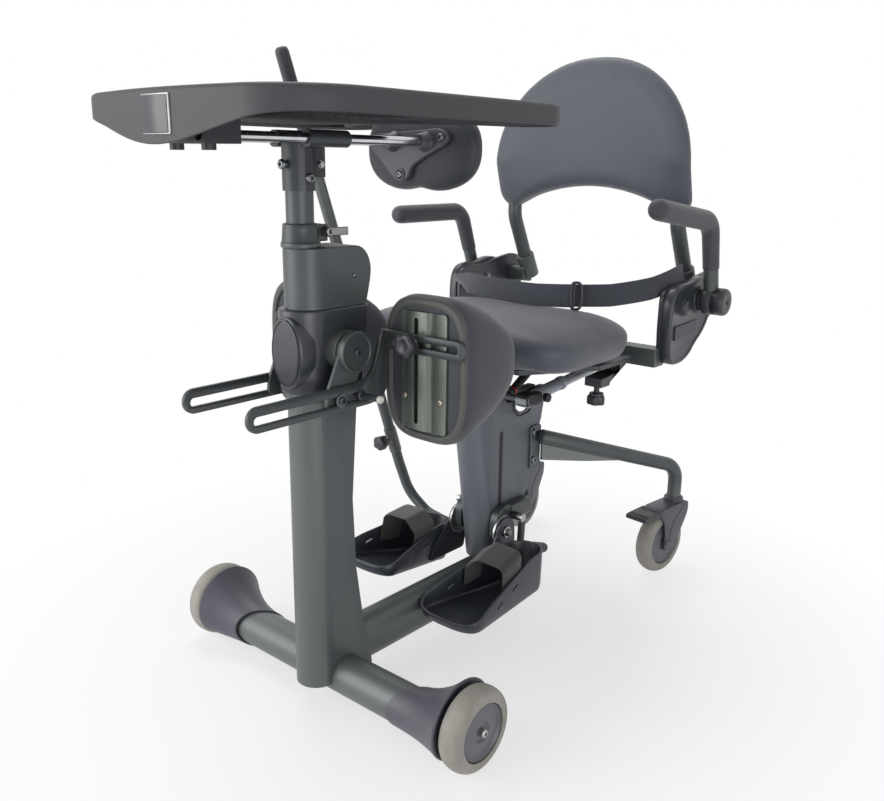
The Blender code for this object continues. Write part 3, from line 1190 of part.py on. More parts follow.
def arm(side, s):
    """Flip-up arm: hub and cap, a tube rising to a bend and a padded grip reaching forwards."""
    flips = carrier(f"arm_{side}_axis", hips, (s * ARM_X, ARM_HUB_Y, ARM_HUB_Z))
    start = PLATE_INNER_X + PLATE_THICKNESS + FIT
    profile = [(0, start), (ARM_HUB_RADIUS, start), (ARM_HUB_RADIUS, ARM_CAP_X), (ARM_CAP_RADIUS, ARM_CAP_X + 0.003),
               (ARM_CAP_RADIUS, ARM_END_X - 0.004), (ARM_CAP_RADIUS - 0.004, ARM_END_X), (0, ARM_END_X)]
    made = piece(f"arm_{side}", turned([(r, s * x) for r, x in profile], (ARM_HUB_Y, ARM_HUB_Z), 16),
                 flips, "4a4d52", 0.5, 0.3)
    x = s * ARM_X
    hub = Vector((x, ARM_HUB_Y, ARM_HUB_Z))
    drop = Matrix.Rotation(ARM_DROP[side], 3, "X")
    tip, bend = [hub + drop @ (Vector((x, *point)) - hub) for point in (ARM_TIP[side], ARM_BEND)]
    path = rounded([hub + (bend - hub) * 0.03, bend, tip], 0.032, 5)
    unite(made, tube(path, ARM_TUBE_RADIUS, 10))
    along = (bend - tip).normalized()
    grip = [tip - along * 0.016, tip - along * 0.013, tip - along * 0.006, tip + along * 0.004]
    rings = []
    side_axis, up = Vector((1, 0, 0)), Vector((1, 0, 0)).cross(along)
    for point, share in zip(grip + [bend - along * 0.02], (0.45, 0.78, 0.95, 1.0, 1.0)):
        rings.append([point + side_axis * a * share + up * b * share for a, b in circle((0, 0), ARM_PAD_RADIUS, 12)])
    unite(made, loft(rings))
    near, far = sorted((s * (start - 0.01), s * (ARM_END_X - 0.011)))
    cut(made, rod("x", (ARM_HUB_Y, ARM_HUB_Z), near, far, ARM_PIN_RADIUS + RUN, 16))


hip_frame()
for side, s in SIDES:
    side_plate(side, s)
for side, s in SIDES:
    back_tube(side, s)
back_cushion()
lap_belt()
for side, s in SIDES:
    arm(side, s)


# Seat link: a two-part tube that keeps the hips level, and the cylinder's rod
def parallel_link():
    swings = carrier("link_axis", STANDER, (LINK_X, link_y, link_z))
    start, end = Vector((LINK_X, link_y, link_z)), Vector((LINK_X, link_end_y, link_end_z))
    along = (end - start).normalized()
    ring = start + (end - start) * LINK_RING
    made = piece("parallel_link", tube([start + along * 0.008, ring], LINK_RADIUS, 12), swings, "6a6e78", 0.35, 0.6)
    unite(made, tube([ring - along * 0.004, ring + along * 0.004], LINK_RING_RADIUS, 12),
          tube([ring - along * 0.01, end - along * 0.018], LINK_ROD_RADIUS, 12),
          tube([ring, end - along * 0.003], 0, 4, [(-0.0045, -0.0055), (0.0045, -0.0055), (0.0045, 0.0055),
                                                  (-0.0045, 0.0055)]),
          rod("x", (link_y, link_z), LINK_X - LINK_RADIUS, LINK_X + LINK_RADIUS, LINK_RING_RADIUS, 14),
          rod("x", (link_end_y, link_end_z), LINK_X - 0.0045, LINK_X + 0.0045, 0.0065, 14))
    cut(made, rod("x", (link_y, link_z), 0, 0.3, LINK_PIN_RADIUS + RUN, 12))


def cylinder_rod():
    rises = carrier("cylinder_rod_axis", STANDER, (0, CYLINDER_Y, CYLINDER_TOP))
    top = LIFT_BEAM_BOTTOM + CYLINDER_HEAD
    made = piece("cylinder_rod", rod("z", (0, CYLINDER_Y), COLUMN_BASE_Z + 0.034, top, CYLINDER_ROD_RADIUS, 16),
                 rises, "c9cbcd", 0.15, 1.0)
    unite(made, rod("z", (0, CYLINDER_Y), top - 0.014, top, 0.010, 12))


def valve_lever():
    """The release lever: a short dark grip on the valve block's spindle."""
    x, y, z = 0.049, VALVE_Y, VALVE_Z
    tips = carrier("valve_lever_axis", STANDER, (x, y, z))
    made = piece("valve_lever", rod("x", (y, z), COLUMN_HALF + FIT, x + 0.009, 0.0095, 12), tips, "22252b", 0.5)
    unite(made, tube([(x, y, z + 0.002), (x, y - 0.028, z + 0.020), (x, y - 0.048, z + 0.034)], 0.0062, 9))


parallel_link()
cylinder_rod()
valve_lever()

# Pump lever: pivots behind the left foot support and rises past the seat
pumping = carrier("pump_axis", STANDER, (-COLUMN_HALF, PUMP_Y, PUMP_Z))


def pump_lever():
    path = rounded([*PUMP_ROUTE, PUMP_TOP], 0.05, 4)
    top = (path[-1] - path[-2]).normalized()
    made = piece("pump_lever", tube(path, PUMP_RADIUS, 10), pumping, "5f6468", 0.45, 0.5)
    unite(made, tube([path[-1] - top * 0.13, path[-1] - top * 0.002, path[-1] + top * 0.004], PUMP_RADIUS + 0.0007, 10),
          rod("x", (PUMP_Y, PUMP_Z), -0.060, -COLUMN_HALF - FIT, 0.014, 14))
    return made


def pump_knob(made):
    """The star knob that clamps the lever's upper part, on its stud."""
    low, high = Vector(PUMP_ROUTE[-1]), Vector(PUMP_TOP)
    at = low + (high - low) * (PUMP_KNOB_Z - low.z) / (high.z - low.z)
    front = at.y - PUMP_RADIUS - 0.001
    lobes = []
    for i in range(20):
        turn = 2 * math.pi * i / 20
        radius = PUMP_KNOB_RADIUS * (0.88 + 0.12 * math.cos(5 * turn))
        lobes.append((at.x + radius * math.cos(turn), at.z + radius * math.sin(turn)))
    unite(made, prism(lobes, "y", front - 0.026, front - 0.012), rod("y", (at.x, at.z), front - 0.014, at.y, 0.006, 12))


pump_knob(pump_lever())


# Foot supports: a bracket that slides up the column's slot, and a plate with walls hinged at the ankle
toe_end_y = FOOT_TOE_Y + FOOT_TOE_DEPTH
heel_start_y = FOOT_HEEL_Y - FOOT_HEEL_DEPTH
ear_inner = COLUMN_HALF + FIT + FOOT_BRACKET_DEPTH + FIT
ear_outer = ear_inner + FOOT_WALL


def wall_x(y, inner):
    """Where the inner or the outer wall of the right-hand plate stands, at a place along it."""
    toe, heel = (FOOT_TOE_INNER_X, FOOT_HEEL_INNER_X) if inner else (FOOT_TOE_OUTER_X, FOOT_HEEL_OUTER_X)
    return toe + (heel - toe) * (y - toe_end_y) / (heel_start_y - toe_end_y)


def plate_ring(s, z, inset):
    """The plate's outline: a wide toe, square at its corners, and a round heel."""
    outline = []
    middle, half = (FOOT_TOE_OUTER_X + FOOT_TOE_INNER_X) / 2, (FOOT_TOE_OUTER_X - FOOT_TOE_INNER_X) / 2 - inset
    for i in range(11):
        turn = math.pi * i / 10
        c, t = math.cos(turn), max(0.0, math.sin(turn))
        outline.append((middle - half * math.copysign(abs(c) ** 0.7, c),
                        toe_end_y - (FOOT_TOE_DEPTH - inset) * t ** 0.8))
    middle, half = (FOOT_HEEL_OUTER_X + FOOT_HEEL_INNER_X) / 2, (FOOT_HEEL_OUTER_X - FOOT_HEEL_INNER_X) / 2 - inset
    for i in range(8):
        turn = math.pi * i / 7
        outline.append((middle + half * math.cos(turn), heel_start_y + (FOOT_HEEL_DEPTH - inset) * math.sin(turn)))
    return [(s * x, y, z) for x, y in outline]


def foot_bracket(side, s, parent):
    """Slides against the column's side wall: ankle pin, clamp block, clamp grip and, on the right, a handle."""
    start = COLUMN_HALF + FIT
    middle = start + FOOT_BRACKET_DEPTH
    y, z = FOOT_ANKLE_Y, FOOT_ANKLE_Z
    body = [(y - 0.018, z - 0.010), (y + 0.008, z - 0.018), (y + 0.027, z - 0.010), (y + 0.031, z + 0.040),
            (y + 0.015, z + 0.046), (y - 0.007, z + 0.036), (y - 0.020, z + 0.018)]
    made = piece(f"foot_bracket_{side}", prism(body, "x", *sorted((s * start, s * middle))), parent,
                 "3a3e42", 0.5, 0.4)
    unite(made, rod("x", (y, z), *sorted((s * (middle - 0.001), s * (ear_outer + 0.002))), FOOT_PIN_RADIUS, 14),
          rod("x", (y, z), *sorted((s * (ear_outer + FIT), s * (ear_outer + 0.005))), FOOT_PIN_RADIUS + 0.0035, 14),
          rod("x", (y + 0.024, z + 0.022), *sorted((s * (middle - 0.001), s * 0.066)), 0.0065, 12),
          box(sorted((s * start, s * 0.050)), (y + 0.024, y + 0.079), (z + 0.010, z + 0.042)))
    if side == "right":
        x = s * 0.0440
        route = rounded([(x, y + 0.058, z + 0.020), (x, y + 0.054, z - 0.046), (x, y + 0.126, z - 0.073)], 0.014, 4)
        unite(made, tube(route, 0.0065, 9))


def foot_plate(side, s, parent):
    """A shallow tray for the foot: low at the toe, with walls that rise to the heel, and an ear on the pin."""
    top = FOOT_RIM_HEEL + 0.01
    floor = FOOT_FLOOR_Z
    rings = [plate_ring(s, floor, 0.006), plate_ring(s, floor + 0.012, 0.001), plate_ring(s, top, 0.0)]
    made = piece(f"foot_plate_{side}", loft(rings), parent, "2e3037", 0.5)
    rings = [plate_ring(s, floor + FOOT_WALL, 0.006 + FOOT_WALL), plate_ring(s, floor + 0.014, 0.001 + FOOT_WALL),
             plate_ring(s, top + 0.01, FOOT_WALL)]
    rim = list(FOOT_RIM) + [(FOOT_RIM[-1][0], 0.30), (FOOT_RIM[0][0], 0.30)]
    cut(made, loft(rings), prism(rim, "x", -0.3, 0.3))
    y, z = FOOT_ANKLE_Y, FOOT_ANKLE_Z
    ear = circle((y, z), 0.0245, 12, 0, math.pi) + list(FOOT_EAR)
    unite(made, prism(ear, "x", *sorted((s * ear_inner, s * ear_outer))),
          box(sorted((s * ear_inner, s * (FOOT_HEEL_INNER_X + 0.004))), (y - 0.028, y + 0.002),
              (floor + 0.030, floor + 0.040)))
    cut(made, rod("x", (y, z), -0.2, 0.2, FOOT_PIN_RADIUS + RUN, 14))


def foot_strap(side, s, parent):
    """Webbing over the instep: it lies on the outside of both walls and slopes up to the rear."""
    rings = []
    for share in (0.0, 0.5, 1.0):
        y = FOOT_STRAP_Y + FOOT_STRAP_WIDTH * (share - 0.5)
        high = FOOT_STRAP_FRONT_Z + (FOOT_STRAP_REAR_Z - FOOT_STRAP_FRONT_Z) * share
        ring = []
        for layer in (1, 0):
            out = FIT + FOOT_STRAP * layer
            inner, outer = wall_x(y, True) - out, wall_x(y, False) + out
            middle, half = (inner + outer) / 2, (outer - inner) / 2
            spring = between(FOOT_RIM, y) + 0.001
            rise = high - FOOT_STRAP * (1 - layer) - spring
            path = [(s * (middle - half), y, FOOT_STRAP_LOW_Z)]
            for i in range(11):
                turn = math.pi * i / 10
                c, t = math.cos(turn), max(0.0, math.sin(turn))
                path.append((s * (middle - half * math.copysign(abs(c) ** 0.7, c)), y, spring + rise * t ** 0.8))
            path.append((s * (middle + half), y, FOOT_STRAP_LOW_Z))
            ring += path if layer else list(reversed(path))
        rings.append(ring)
    piece(f"foot_strap_{side}", loft(rings), parent, "3c3836", 0.85)


for side, s in SIDES:
    slides = carrier(f"foot_height_{side}_axis", STANDER, (s * COLUMN_HALF, COLUMN_SLOT_Y, FOOT_ANKLE_Z))
    foot_bracket(side, s, slides)
    tilts = carrier(f"foot_angle_{side}_axis", slides, (s * ear_inner, FOOT_ANKLE_Y, FOOT_ANKLE_Z))
    foot_plate(side, s, tilts)
    foot_strap(side, s, tilts)
    tilts.rotation_euler.x = FOOT_PITCH[side]
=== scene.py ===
import json
from math import atan2, copysign, cos, exp, pi, radians, sin, sqrt, tan

import bmesh
import bpy
from mathutils import Matrix, Vector

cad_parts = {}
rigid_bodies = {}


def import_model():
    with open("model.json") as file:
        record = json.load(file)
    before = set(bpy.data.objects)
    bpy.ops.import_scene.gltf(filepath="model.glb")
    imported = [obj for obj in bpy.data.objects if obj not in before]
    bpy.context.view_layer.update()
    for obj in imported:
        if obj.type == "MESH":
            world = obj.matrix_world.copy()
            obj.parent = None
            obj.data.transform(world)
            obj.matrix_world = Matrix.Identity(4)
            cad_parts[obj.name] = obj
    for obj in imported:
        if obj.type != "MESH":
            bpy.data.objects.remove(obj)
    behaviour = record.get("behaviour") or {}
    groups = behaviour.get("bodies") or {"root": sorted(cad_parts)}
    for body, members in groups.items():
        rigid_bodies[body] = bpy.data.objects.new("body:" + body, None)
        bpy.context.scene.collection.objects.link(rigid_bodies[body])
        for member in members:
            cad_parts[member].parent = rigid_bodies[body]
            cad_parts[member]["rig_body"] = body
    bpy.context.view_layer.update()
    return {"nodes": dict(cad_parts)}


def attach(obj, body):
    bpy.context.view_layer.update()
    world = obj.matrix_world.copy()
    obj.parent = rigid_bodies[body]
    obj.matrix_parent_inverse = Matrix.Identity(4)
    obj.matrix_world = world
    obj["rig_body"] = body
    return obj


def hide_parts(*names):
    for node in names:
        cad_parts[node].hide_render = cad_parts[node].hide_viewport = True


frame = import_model()


# Axle tube: a steel tube across the front with the axle through it, both powder coated charcoal.
# The coat is a baked film: satin, faintly pebbled, and paler over its edges, partly where it thins and partly
# as a painted highlight.
# Places are measured from the middle of the front axle and the floor's datum, as on the part.
def place(x, y, z):
    return Vector((x, y - 0.2567, z - 0.0055))


def linear(code):
    """An sRGB hex colour as linear RGBA."""
    parts = [int(code[i:i + 2], 16) / 255 for i in (0, 2, 4)]
    return (*(c / 12.92 if c <= 0.04045 else ((c + 0.055) / 1.055) ** 2.4 for c in parts), 1.0)


def feed(tree, node, values):
    """Gives each named input of a node a value, or another node's output."""
    for socket, value in values.items():
        if isinstance(value, bpy.types.NodeSocket):
            tree.links.new(value, node.inputs[socket])
        else:
            node.inputs[socket].default_value = value
    return node


def add(tree, kind, values=None, **settings):
    """A node with its settings and inputs."""
    made = tree.nodes.new(kind)
    for name, value in settings.items():
        setattr(made, name, value)
    return feed(tree, made, values or {})


def blank(name):
    """A new material with nothing but its shader, and the object coordinates for its patterns."""
    made = bpy.data.materials.new(name)
    made.use_nodes = True
    return made, made.node_tree, add(made.node_tree, "ShaderNodeTexCoord").outputs["Object"]


def dressed(made, colour, pale, share, rough=None, relief=None, **plain):
    """Two colours mixed by a share, roughness over a pattern from low to high, relief, plain values."""
    tree = made.node_tree
    tint = add(tree, "ShaderNodeMix", {"Factor": share, "A": linear(colour), "B": linear(pale)},
               data_type="RGBA")
    values = {"Base Color": tint.outputs["Result"],
              **{name.replace("_", " "): v for name, v in plain.items()}}
    if rough:
        over, low, high = rough
        spread = add(tree, "ShaderNodeMapRange", {"Value": over, "To Min": low, "To Max": high})
        values["Roughness"] = spread.outputs[0]
    if relief:
        height, strength, distance = relief
        values["Normal"] = add(tree, "ShaderNodeBump", {"Height": height, "Strength": strength,
                                                        "Distance": distance}).outputs[0]
    feed(tree, tree.nodes["Principled BSDF"], values)
    return made


def powder_coat(name, colour, thin_coat_and_highlight, rough=0.42):
    """Baked polyester powder: pebbles 1.6 mm apart (real ones are half that), paler over edges: a thinner
    coat there, and a painted highlight.
    """
    made, tree, where = blank(name)
    pebbles = add(tree, "ShaderNodeTexNoise",
                  {"Vector": where, "Scale": 1 / 0.0016, "Detail": 2.0}).outputs["Fac"]
    patches = add(tree, "ShaderNodeTexNoise", {"Vector": where, "Scale": 11.0, "Detail": 4.0}).outputs["Fac"]
    # Edges are made paler by pointiness: partly the thinner film, partly a painted highlight.
    edge = add(tree, "ShaderNodeMapRange", {"Value": add(tree, "ShaderNodeNewGeometry").outputs["Pointiness"],
                                            "From Min": 0.52, "From Max": 0.62}).outputs[0]
    film = add(tree, "ShaderNodeMapRange", {"Value": patches, "From Min": 0.3, "From Max": 0.7,
                                            "To Max": 0.16}).outputs[0]
    share = add(tree, "ShaderNodeMath", {0: edge, 1: film}, operation="MAXIMUM").outputs[0]
    return dressed(made, colour, thin_coat_and_highlight, share, (patches, rough - 0.05, rough + 0.06), (pebbles, 0.16, 0.0004),
                   Metallic=0.25)


charcoal_coat = powder_coat("charcoal powder coat", "494d50", "7b807e")
black_coat = powder_coat("black powder coat", "3a3e42", "6c706c", 0.38)
column_coat = powder_coat("grey powder coat", "585c65", "82868c", 0.46)


def solid(name, bm, finish, smooth_under=40.0):
    """Turns a bmesh into a piece with its own finish, smooth except at its hard edges."""
    bmesh.ops.remove_doubles(bm, verts=bm.verts, dist=1e-6)
    bmesh.ops.recalc_face_normals(bm, faces=bm.faces)
    mesh = bpy.data.meshes.new(name)
    bm.to_mesh(mesh)
    bm.free()
    mesh.shade_smooth()
    mesh.set_sharp_from_angle(angle=radians(smooth_under))
    if finish:
        mesh.materials.append(finish)
    made = bpy.data.objects.new(name, mesh)
    bpy.context.scene.collection.objects.link(made)
    return made


def fitted(piece, home, *stands_for):
    """Home is the body that the piece moves with and the slot of its finish; the slot is not used. It may
    stand for nodes.
    """
    body, slot = home.split()
    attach(piece, body)
    if stands_for:
        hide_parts(*stands_for)
    return piece


def fit(name, bm, finish, home, smooth_under=40.0, *stands_for):
    return fitted(solid(name, bm, finish, smooth_under), home, *stands_for)


def baked(piece):
    """The piece with its modifiers turned into mesh."""
    mesh = bpy.data.meshes.new_from_object(piece.evaluated_get(bpy.context.evaluated_depsgraph_get()))
    piece.modifiers.clear()
    piece.data = mesh
    return piece


def bevelled(piece, width, segments, over, harden=True):
    """Breaks the edges that are sharper than an angle in degrees."""
    ease = piece.modifiers.new("Ease", "BEVEL")
    ease.width, ease.segments, ease.limit_method = width, segments, "ANGLE"
    ease.angle_limit, ease.harden_normals = radians(over), harden
    return baked(piece)


def eased(node, finish, slot, width=0.0008, segments=2):
    """A copy of a node with its edges broken, as after deburring and coating. It stands for the node."""
    source = frame["nodes"][node]
    bm = bmesh.new()
    bm.from_mesh(source.data)
    bmesh.ops.remove_doubles(bm, verts=bm.verts, dist=1e-5)
    bmesh.ops.dissolve_limit(bm, angle_limit=radians(1.0), verts=bm.verts, edges=bm.edges)
    made = bevelled(solid(f"{node}_eased", bm, finish, 35.0), width, segments, 34)
    return fitted(made, f"{source['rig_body']} {slot}", node)


def turns(steps):
    return [2 * pi * i / steps for i in range(steps)]


def on_axis(axis, along, a, b):
    """A point at a place along an axis, and its two places off it."""
    return place(*{"x": (along, a, b), "y": (a, along, b), "z": (a, b, along)}[axis])


def skin(rings, bm=None, loop=False):
    """A closed surface over rings of points, capped at its ends, or joined end to end as a loop."""
    bm = bm or bmesh.new()
    made = [[bm.verts.new(p) for p in ring] for ring in rings]
    for low, high in zip(made, made[1:] + made[:1] * loop):
        for i in range(len(low)):
            j = (i + 1) % len(low)
            bm.faces.new((low[i], low[j], high[j], high[i]))
    if not loop:
        bm.faces.new(list(reversed(made[0])))
        bm.faces.new(made[-1])
    return bm


def turned(profile, axis, centre, steps=48, bm=None, loop=False, s=1, pole=True):
    """A lathe form of pairs of radius and place along the axis: closed at a pole, closed flat, or a ring."""
    if pole and not loop:
        profile = [(0.0001, profile[0][1]), *profile, (0.0001, profile[-1][1])]
    return skin([[on_axis(axis, s * along, centre[0] + radius * cos(t), centre[1] + radius * sin(t))
                  for t in turns(steps)] for radius, along in profile], bm, loop)


WHEEL_Z, TUBE_Z = 0.0626, 0.0446
axle = turned([(0.0278, -0.238), (0.029, -0.237), (0.029, 0.237), (0.0278, 0.238)], "x", (0, TUBE_Z), 64,
              pole=False)
turned([(0.0058, -0.2765), (0.006, -0.2755), (0.006, 0.2755), (0.0058, 0.2765)], "x", (0, WHEEL_Z), 24, axle,
       pole=False)
fit("axle_tube", axle, charcoal_coat, "frame frame_paint", 40.0, "front_cross_tube")
SIDES = (("left", -1), ("right", 1))


# Wheel shrouds: two moulded grey trumpets, pushed over the tube's ends, flaring to the back of the wheel.
# Polypropylene with a fine spark-eroded grain: matt, slightly blue, with a soft broad highlight.
def grained_moulding(name, colour, pale, grain=0.0022, rough=0.5, depth=0.22):
    made, tree, where = blank(name)
    cells = add(tree, "ShaderNodeTexVoronoi", {"Vector": where, "Scale": 1 / grain}).outputs["Distance"]
    clouds = add(tree, "ShaderNodeTexNoise", {"Vector": where, "Scale": 18.0, "Detail": 5.0}).outputs["Fac"]
    share = add(tree, "ShaderNodeMapRange",
                {"Value": clouds, "From Min": 0.35, "From Max": 0.75, "To Max": 0.4})
    return dressed(made, colour, pale, share.outputs[0], (clouds, rough - 0.04, rough + 0.08),
                   (cells, depth, 0.0003))


shroud_plastic = grained_moulding("grey polypropylene", "50505a", "62626b", rough=0.44)
black_plastic = grained_moulding("black polypropylene", "25272c", "32343a", rough=0.42)
knob_plastic = grained_moulding("black nylon", "2c2e33", "3a3c41", grain=0.0015, rough=0.36)


def wheel_shroud(side, s):
    tube_radius, inner, outer, disc, lip_deep = 0.031, 0.137, 0.2444, 0.0585, 0.002
    rings = []
    for share in (i / 28 for i in range(29)):
        ring = []
        for t in turns(72):
            start = inner + 0.0235 * (1 + s * cos(t))
            x = start + (outer - lip_deep - start) * share
            flare = max(0.0, (x - inner) / (outer - lip_deep - inner)) ** 2.3
            radius = tube_radius + (disc - tube_radius) * flare
            middle = TUBE_Z + (WHEEL_Z - TUBE_Z) * flare
            under = middle - (TUBE_Z - tube_radius)
            ring.append((s * x, cos(t) * radius, middle + sin(t) * (radius if sin(t) > 0 else under)))
        rings.append(ring)
    mouth = [(x - s * 0.0006, y * 0.945, TUBE_Z + (z - TUBE_Z) * 0.945) for x, y, z in rings[0]]
    lip = [[(s * at, y * size, WHEEL_Z + (z - WHEEL_Z) * size) for _, y, z in rings[-1]]
           for at, size in ((outer, 0.985), (outer, 0.93), (outer - 0.004, 0.92))]
    rings = [[(s * (inner + 0.06), y, z) for _, y, z in mouth], mouth, *rings, *lip]
    fit(f"shroud_{side}", skin([[place(*p) for p in ring] for ring in rings]), shroud_plastic,
        "frame grey_moulding", 40.0, f"wheel_shroud_{side}")


for side, s in SIDES:
    wheel_shroud(side, s)


# Wheels: a pale grey rubber tyre moulded round a grey nylon hub, with a dark ring where the two meet, painted
# shade for the groove between them.
# Rubber is matt and mottled with dust; the hub is smoother. The front pair run on the axle tube's ends.
def tyre_rubber(name, colour, dusty):
    made, tree, where = blank(name)
    mottle = add(tree, "ShaderNodeTexNoise",
                 {"Vector": where, "Scale": 34.0, "Detail": 6.0, "Roughness": 0.65})
    specks = add(tree, "ShaderNodeTexNoise", {"Vector": where, "Scale": 900.0, "Detail": 1.0}).outputs["Fac"]
    share = add(tree, "ShaderNodeMapRange",
                {"Value": mottle.outputs["Fac"], "From Min": 0.35, "From Max": 0.68})
    return dressed(made, colour, dusty, share.outputs[0], relief=(specks, 0.1, 0.0002), Roughness=0.62)


grey_rubber = tyre_rubber("grey tyre rubber", "918d86", "a29e97")
hub_nylon = grained_moulding("grey nylon", "5f6167", "6e7075", rough=0.4, depth=0.12)
groove_shade = grained_moulding("painted groove shade", "191a1d", "222327", rough=0.6)


def wheel(name, x, width, centre, radius, hub, turn=None):
    """Tyre, hub and the dark ring between them, painted shade for their groove, as lathe forms about the
    axle.
    """
    half, face = width / 2, width * 0.46
    leans = [pi * (i / 16 - 0.5) for i in range(1, 16)]
    tyre = [(hub + 0.0012, x - half * 0.90), (radius - 0.0175, x - half)]
    tyre += [(radius - 0.0145 * (1 - cos(lean) ** 0.62), x + half * sin(lean) * 0.995) for lean in leans]
    tyre += [(radius - 0.0175, x + half), (hub + 0.0012, x + half * 0.90)]
    steps = [(0.012, 0.0035), (0.014, 0.001), (0.017, 0.001), (hub * 0.86, 0.003), (hub - 0.002, 0.0),
             (hub, 0.001)]
    cap = [(r, x - face + set_in) for r, set_in in steps]
    cap += [(r, x + face - set_in) for r, set_in in reversed(steps)]
    # This dark ring stands for the groove between tyre and hub: painted shade.
    line = [(hub + r, x + at * (face - 0.0016))
            for r, at in ((-0.0005, -1), (0.0018, -1), (0.0018, 1), (-0.0005, 1))]
    for part, profile, coat, sides in (("tyre", tyre, grey_rubber, 96), ("hub", cap, hub_nylon, 64),
                                       ("seam", line, groove_shade, 64)):
        bm = turned(profile, "x", centre, sides, loop=part != "hub")
        bm.transform(turn or Matrix.Identity(4))
        fit(f"{name}_{part}", bm, coat, f"{name} tyre", 32.0, *([name] if part == "tyre" else []))


for side, s in SIDES:
    wheel(f"front_wheel_{side}", s * 0.2634, 0.033, (0, WHEEL_Z), 0.0571, 0.0385)


# Mast: an extruded post coped over the axle tube, its black moulded sleeve, and the casing above it.
# The sleeve is glossy ABS; post and casing are powder coated. Collar and head are coated castings; the collar
# is black. The head and the tube below it are drawn darker than their coats, as painted shade from the tray
# above.
def gloss_moulding(name, colour, rough=0.24):
    """ABS from a polished tool: nearly black, with long soft reflections and a trace of flow ripple."""
    made, tree, where = blank(name)
    ripple = add(tree, "ShaderNodeTexNoise", {"Vector": where, "Scale": 40.0, "Detail": 2.0}).outputs["Fac"]
    smear = add(tree, "ShaderNodeTexNoise", {"Vector": where, "Scale": 7.0, "Detail": 6.0}).outputs["Fac"]
    return dressed(made, colour, "3d4048", smear, (smear, rough - 0.06, rough + 0.12), (ripple, 0.04, 0.002))


gloss_black = gloss_moulding("black ABS", "2e3237", 0.3)


def bright_steel(name, colour, rough, brushed=0.0):
    """Plated steel: a metal whose drawn or ground lines, where it has them, run along the object's Y."""
    made, tree, where = blank(name)
    stretch = add(tree, "ShaderNodeMapping",
                  {"Vector": where, "Scale": (1400.0, 60.0, 1400.0)}).outputs["Vector"]
    lines = add(tree, "ShaderNodeTexNoise", {"Vector": stretch, "Scale": 1.0, "Detail": 2.0}).outputs["Fac"]
    return dressed(made, colour, "9a9c9e", lines, (lines, rough, rough + 0.1 + brushed), Metallic=1.0)


chrome = bright_steel("chromed steel", "eceef0", 0.14)
zinc = bright_steel("zinc plated steel", "b9bab8", 0.24, 0.1)
blackened = bright_steel("blackened steel", "4a4d52", 0.32, 0.1)
# Painted shade: the tube and head coats are darkened for the tray's shadow over the top of the mast.
tube_coat = powder_coat("shaded charcoal powder coat", "3b3f42", "62676a")
shadow_darkened_coat = powder_coat("powder coat darkened as painted shadow", "2a2d31", "4c5054", 0.4)
eased("spine_tube", charcoal_coat, "frame_paint")
eased("mast_post", charcoal_coat, "frame_paint")
eased("inner_tube", tube_coat, "frame_paint")
eased("mast_head", shadow_darkened_coat, "black_paint", 0.001)
POST_REAR = ((0.040, 0.054), (0.070, 0.050), (0.120, 0.037), (0.200, 0.025), (0.305, 0.020), (0.430, 0.029),
             (0.574, 0.045))


def between(table, at):
    for (low, first), (high, last) in zip(table, table[1:]):
        if at <= high:
            return first + (last - first) * max(0.0, (at - low) / (high - low))
    return table[-1][1]


def arc(centre, radius, first, last, steps):
    """Points round part of a circle, both ends among them. The radius may be a pair, for an oval."""
    wide, high = radius if isinstance(radius, tuple) else (radius, radius)
    return [(centre[0] + wide * cos(t), centre[1] + high * sin(t))
            for t in (first + (last - first) * k / steps for k in range(steps + 1))]


def post_ring(z, rear, grow=0.0, nose=0.0):
    """The post's section: half-round in front, flat sides, rounded corners at the rear."""
    half, corner = 0.030 + grow, 0.006
    ring = arc((0, -0.028), (half, half + nose), pi, 2 * pi, 36)
    for side, first in ((1, 0.0), (-1, pi / 2)):
        ring += arc((side * (half - corner), rear + grow - corner), corner, first, first + pi / 2, 6)
    return [place(x, y, z) for x, y in ring]


def mast_covers():
    low, high, wall = 0.466, 0.5737, 0.0045
    levels = [(low, 0.0022), (low + 0.0006, 0.0038)]
    levels += [(low + 0.002 + (high - low - wall) * k / 14, wall) for k in range(15)]
    levels += [(high - 0.0010, 0.0040), (high - 0.0002, 0.0028), (high, 0.0008)]
    fit("mast_sleeve", skin([post_ring(z, between(POST_REAR, z), grow, 0.0055) for z, grow in levels]),
        gloss_black, "frame moulded_black", 40.0, "mast_shell")

    low, high, rear, round_y, round_z = 0.5743, 0.650, 0.062, 0.030, 0.040
    rings = []
    for share in (1 - (1 - i / 40) ** 1.7 for i in range(41)):
        z = low + (high - 0.0012 - low) * share
        fall = max(0.0, (z - high + round_z) / round_z)
        bulge = rear - 0.012 * (1 - share) ** 2 - round_y * (1 - sqrt(max(0.0, 1 - fall ** 2)))
        rings.append(post_ring(z, bulge))
    rings += [post_ring(high - 0.0004, bulge - 0.003, -0.0005), post_ring(high, bulge - 0.006, -0.0018)]
    fit("mast_casing", skin(rings), charcoal_coat, "frame frame_paint", 50.0, "mast_housing")


def block(name, x, y, z, finish, home, ease=0.001):
    """A machined or moulded block with eased edges, given by its ranges."""
    bm = bmesh.new()
    bmesh.ops.create_cube(bm, size=1.0)
    ranges = [sorted(pair) for pair in (x, y, z)]
    for vertex in bm.verts:
        vertex.co = place(*(low + (high - low) * (c + 0.5) for (low, high), c in zip(ranges, vertex.co)))
    bmesh.ops.bevel(bm, geom=list(bm.edges), offset=ease, segments=3, profile=0.5, affect="EDGES",
                    clamp_overlap=True)
    return fit(name, bm, finish, home, 50.0)


def oval(name, half_x, half_z, profile, finish):
    """An oval moulding on the sleeve's front: its profile gives shares of the oval and places along y."""
    rings = [[place(0.003 + half_x * share * cos(t), y, 0.5195 + half_z * share * sin(t)) for t in turns(72)]
             for share, y in profile]
    fit(name, skin(rings), finish, "frame moulded_black")


